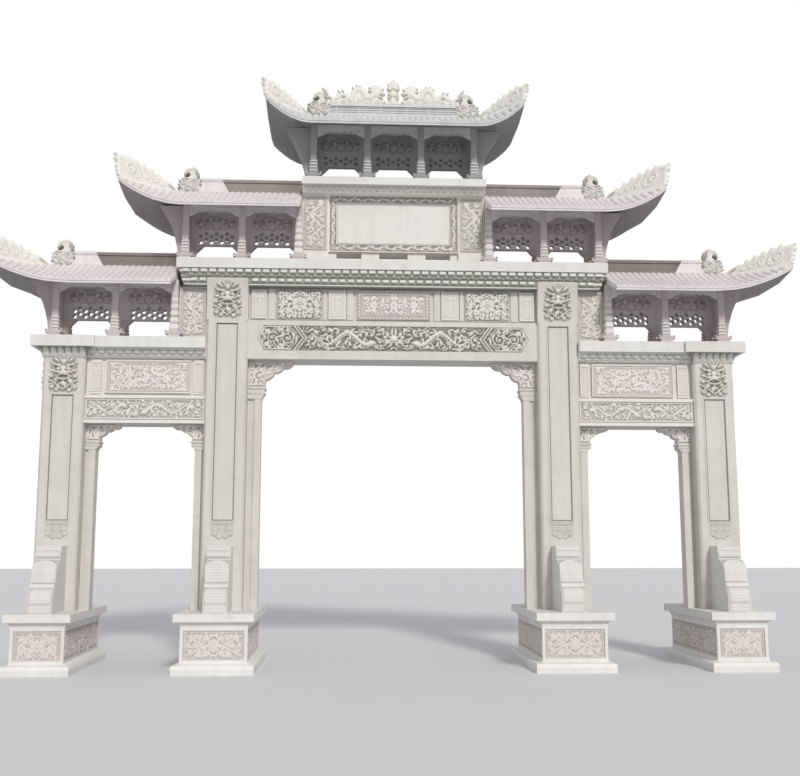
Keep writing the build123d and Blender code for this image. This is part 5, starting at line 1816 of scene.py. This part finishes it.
for storeyName, storey in storeys.items():
    screenStock = Stock()
    postStock = Stock()
    look = storeyLook
    bottom = storey["bottom"]
    places = storey["posts"]
    bays = list(zip(places, places[1:]))
    bay = bays[0][1] - bays[0][0]
    screen = screenCarving(bay - look["screenGap"])
    curtain = curtainCarving(bay - look["curtainGap"])
    mirrored = storeyName != "top"
    for way in (1, -1) if mirrored else (1,):
        for start, end in bays:
            for side in (1, -1):
                middle = way * (start + end) / 2
                place = onFront(middle, bottom + look["screenHeight"], look["screenFace"], side, way)
                screen.plate(screenStock, place, look["thick"], 0.02, dark=0.9, both=False, back=look["back"])
                place = onFront(middle, bottom + look["curtainHeight"], look["curtainFace"], side, way)
                curtain.plate(postStock, place, look["thick"], 0.016, dark=0.1, both=False, back=look["back"])
        for number, x in enumerate(places):
            tall = mirrored and number == 0  # the post beside the plaque or the shoulder
            for side in (1, -1):
                dressPost(postStock, way * x, -side * look["postY"], bottom, "tall" if tall else "short")
    screenStock.build(f"{storeyName}_screen_carvings", storey["finish"], storey["slot"])
    postStock.build(f"{storeyName}_post_carvings", storey["slot"], storey["slot"])
print("roof storeys carved")


# Drum stones: fluted faces that follow the stone's profile, with an arched head
drumLook = dict(wide=0.318, flute=0.037, lift=0.006, cell=0.012)


def arcThrough(a, b, c, count):  # points of the circle from a over b to c
    (ax, ay), (bx, by), (cx, cy) = a, b, c
    squareA = ax * ax + ay * ay
    squareB = bx * bx + by * by
    squareC = cx * cx + cy * cy
    d = 2 * (ax * (by - cy) + bx * (cy - ay) + cx * (ay - by))
    x = (squareA * (by - cy) + squareB * (cy - ay) + squareC * (ay - by)) / d
    y = (squareA * (cx - bx) + squareB * (ax - cx) + squareC * (bx - ax)) / d
    radius = hypot(ax - x, ay - y)
    first = atan2(ay - y, ax - x)
    last = atan2(cy - y, cx - x)
    if last - first > pi:
        last -= 2 * pi
    if first - last > pi:
        last += 2 * pi
    return [aimed(x, y, radius, first + (last - first) * k / count) for k in range(count + 1)]


drumFaces = {  # front outlines from below, as (y, z)
    "base": [(-0.97, 0.81), (-0.97, 0.925)],
    "lower": arcThrough((-0.97, 0.93), (-0.958, 1.04), (-0.875, 1.12), 8),
    "band": [(-0.895, 1.125), (-0.895, 1.195)],
    "upper": [(-0.845, 1.205), *arcThrough((-0.833, 1.32), (-0.776, 1.453), (-0.63, 1.51), 9)],
    "cap": [(-0.655, 1.55), (-0.655, 1.615)],
    "crown": [(-0.615, 1.625), (-0.615, 1.695)],
}


def alongProfile(path, cx, side):  # y of the carving runs up the outline, x across the stone
    path = np.asarray(path, float)
    along = lengthsAlong(path)

    def place(x, y, out):
        distance = min(max(y + along[-1] / 2, 0.0), along[-1])
        here = pointAt(path, along, distance)
        before = np.array(pointAt(path, along, max(0.0, distance - 0.004)))
        run = np.array(pointAt(path, along, min(along[-1], distance + 0.004))) - before
        run /= np.hypot(*run)
        return (cx + x * side, side * (here[0] - run[1] * out), here[1] + run[0] * out)
    return place, along[-1]


def drumCarving(name, tall):  # flutes across the face, and what each part of the outline has of its own
    work = Carving(drumLook["wide"], tall - 0.004, drumLook["cell"], seed=81)
    inside = drumLook["wide"] / 2 - abs(work.gridX) > 0.014
    flutes = 0.5 + 0.5 * np.cos(2 * pi * (work.gridY + tall / 2) / drumLook["flute"])
    lines = drumLook["lift"] * flutes
    if name == "upper":  # the drum's arched head, with painted shade on the stone behind it and in the flutes' troughs
        arch = tall / 2 - 0.105 - 2.6 * work.gridX ** 2 - work.gridY
        rim = 0.014 * np.exp(-((arch - 0.012) / 0.01) ** 2)
        work.relief = np.where(arch > 0, 0.016 + lines, 0.0) + rim
        shade = np.clip(1.0 - (arch + 0.004) / 0.006, 0, 1) * np.clip(1.0 + (arch + 0.05) / 0.02, 0, 1) * 0.9
        work.pits = 0.4 * (1 - flutes) * (arch > 0.02) + shade
    elif name in ("lower", "base"):
        work.relief = np.where(inside, (0.008 if name == "lower" else 0.004) + lines, 0.0)
        # painted shade in the flutes' troughs
        work.pits = 0.4 * (1 - flutes)
    elif name == "band":
        work.relief = 0.012 * np.exp(-(work.gridY / 0.022) ** 2)
    else:
        work.relief = 0.008 * np.exp(-(work.gridY / 0.02) ** 2)
    for hand in (-1, 1):
        if name == "lower":
            work.curl(hand * 0.115, 0.07, 0.026, 0.5, hand, 0.011, 0.02)
        elif name == "band":
            work.dab(hand * 0.13, 0.0, 0.026, 0.02)
    return work


drumStock = Stock()
for x in (innerPier, outerPier):
    for way, side in quarters:
        for name, path in drumFaces.items():
            place, tall = alongProfile(path, way * x, side)
            drumCarving(name, tall).sheet(drumStock, place, 0.016, dark=0.85)
drumStock.build("drum_stone_faces", "cap_stone", "cap_stone")


# Capitals of the outer piers: a ring of upright lotus petals round the hollow moulding
petalStock = Stock()
petalLook = dict(
    bottom=4.425, top=4.545, spread=0.09, count=6, halfX=0.31, halfY=0.33, front=0.32, end=0.3, endCount=6,
)
# from foot to tip
petalBreadths = ((0.0, 0.8), (0.25, 1.0), (0.5, 1.0), (0.72, 0.86), (0.9, 0.5), (1.0, 0.12))


def covePoint(share):  # how far out and how high the hollow moulding stands
    turn = pi / 2 * share
    rise = (petalLook["top"] - petalLook["bottom"]) * sin(turn)
    return petalLook["spread"] * (1 - cos(turn)), petalLook["bottom"] + rise


def petal(stock, foot, sideways, outwards, wide):  # one petal that leans out with the moulding and curls over
    rings = []
    for share, breadth in petalBreadths:
        out, z = covePoint(share * 0.93)
        swell = 0.034 * sin(pi * (0.12 + 0.8 * share)) + 0.006
        half = 0.5 * wide * breadth
        ring = []
        for k in range(7):
            angle = pi * k / 6
            point = foot + sideways * half * cos(angle) + outwards * (out + swell * sin(angle) + 0.002)
            ring.append((point.x, point.y, z))
        for sign in (-1, 1):
            point = foot + sideways * half * sign + outwards * (out - 0.02)
            ring.append((point.x, point.y, z))
        rings.append(ring)
    if sideways.cross(outwards).z < 0:
        rings = [ring[::-1] for ring in rings]
    stock.loft(rings)


coveStock = Stock()  # the hollow that shows between the petals, darkened with painted shade, and the roll below it
for way in (1, -1):
    rings = []
    for share in (0.0, 0.2, 0.4, 0.6, 0.8, 1.0):
        out, z = covePoint(share)
        halfX = petalLook["end"] + out + 0.002
        halfY = petalLook["front"] + out + 0.002
        rings.append([(way * outerPier + sx * halfX, sy * halfY, z) for sx, sy in corners])
    coveStock.loft(rings, dust=0.55)
    low = (way * outerPier - 0.316, -0.336, petalLook["bottom"] - 0.021)
    coveStock.block(low, (way * outerPier + 0.316, 0.336, petalLook["bottom"] + 0.001), bevel=0.009)
coveStock.build("capital_hollows", "cove_stone", "slab_stone")
wide = 2 * petalLook["halfX"] / petalLook["count"]
endWide = 2 * petalLook["halfY"] / petalLook["endCount"]
for way in (1, -1):
    for side in (1, -1):
        for number in range(petalLook["count"]):
            foot = Vector((
                way * (outerPier - petalLook["halfX"] + wide * (number + 0.5)), -side * petalLook["front"], 0,
            ))
            petal(petalStock, foot, Vector((way, 0, 0)), Vector((0, -side, 0)), wide * 0.88)
    for number in range(petalLook["endCount"]):
        foot = Vector((
            way * (outerPier + petalLook["end"]), -petalLook["halfY"] + endWide * (number + 0.5), 0,
        ))
        petal(petalStock, foot, Vector((0, 1, 0)), Vector((way, 0, 0)), 0.096)
petalStock.build("capital_petals", "slab_stone", "slab_stone")
print("drums and capitals carved")


# Floor, light and camera

sceneLook = dict(
    eye=(-0.7203, -15.448, 1.7305), turn=(pi / 2 + 0.1483, 0.0, -0.0535), lens=46.95,
    sun=1.85, sunTurn=(radians(60), 0.0, radians(13)), sunSpread=radians(9), fill=0.5,
    floor=(222, 222, 224), floorHalf=60,
)

floor = bpy.data.meshes.new("floor")
floor.from_pydata(
    [(x * sceneLook["floorHalf"], y * sceneLook["floorHalf"], 0) for x, y in corners], [], [(0, 1, 2, 3)],
)
floorPiece = bpy.data.objects.new("floor", floor)
bpy.context.scene.collection.objects.link(floorPiece)
floorPaint = bpy.data.materials.new("floor_paint")
floorPaint.use_nodes = True
paint = floorPaint.node_tree.nodes["Principled BSDF"].inputs
paint["Base Color"].default_value = tone(*sceneLook["floor"])
paint["Roughness"].default_value = 0.9
floor.materials.append(floorPaint)

world = bpy.data.worlds.new("studio")
bpy.context.scene.world = world
world.use_nodes = True
tree = world.node_tree
tree.nodes.clear()
wire = Wire(tree)
path = tree.nodes.new("ShaderNodeLightPath")
rays = [Wire(tree, path.outputs[name]) for name in ("Is Camera Ray", "Is Glossy Ray", "Is Transmission Ray")]
seen = wire.maths("MINIMUM", rays[0] + rays[1] + rays[2], 1.0)  # the backdrop shows white to these
soft = wire.make("Background", inputs={"Color": (0.93, 0.96, 1.0, 1.0), "Strength": sceneLook["fill"]})
white = wire.make("Background", inputs={"Color": (1.0, 1.0, 1.0, 1.0), "Strength": 1.0})
either = wire.make("MixShader", inputs={0: seen, 1: soft, 2: white})
result = tree.nodes.new("ShaderNodeOutputWorld")
tree.links.new(either.socket, result.inputs["Surface"])

sunLamp = bpy.data.lights.new("key", "SUN")
sunLamp.energy = sceneLook["sun"]
sunLamp.angle = sceneLook["sunSpread"]
sunLamp.color = (1.0, 0.975, 0.945)
sunPiece = bpy.data.objects.new("key", sunLamp)
sunPiece.rotation_euler = sceneLook["sunTurn"]
bpy.context.scene.collection.objects.link(sunPiece)

lens = bpy.data.cameras.new("camera")
lens.lens = sceneLook["lens"]
lens.sensor_width = 36.0
lens.clip_end = 300.0
camera = bpy.data.objects.new("camera", lens)
camera.location = sceneLook["eye"]
camera.rotation_euler = sceneLook["turn"]
bpy.context.scene.collection.objects.link(camera)
bpy.context.scene.camera = camera
bpy.context.scene.view_settings.view_transform = "Standard"
print("floor, light and camera set")
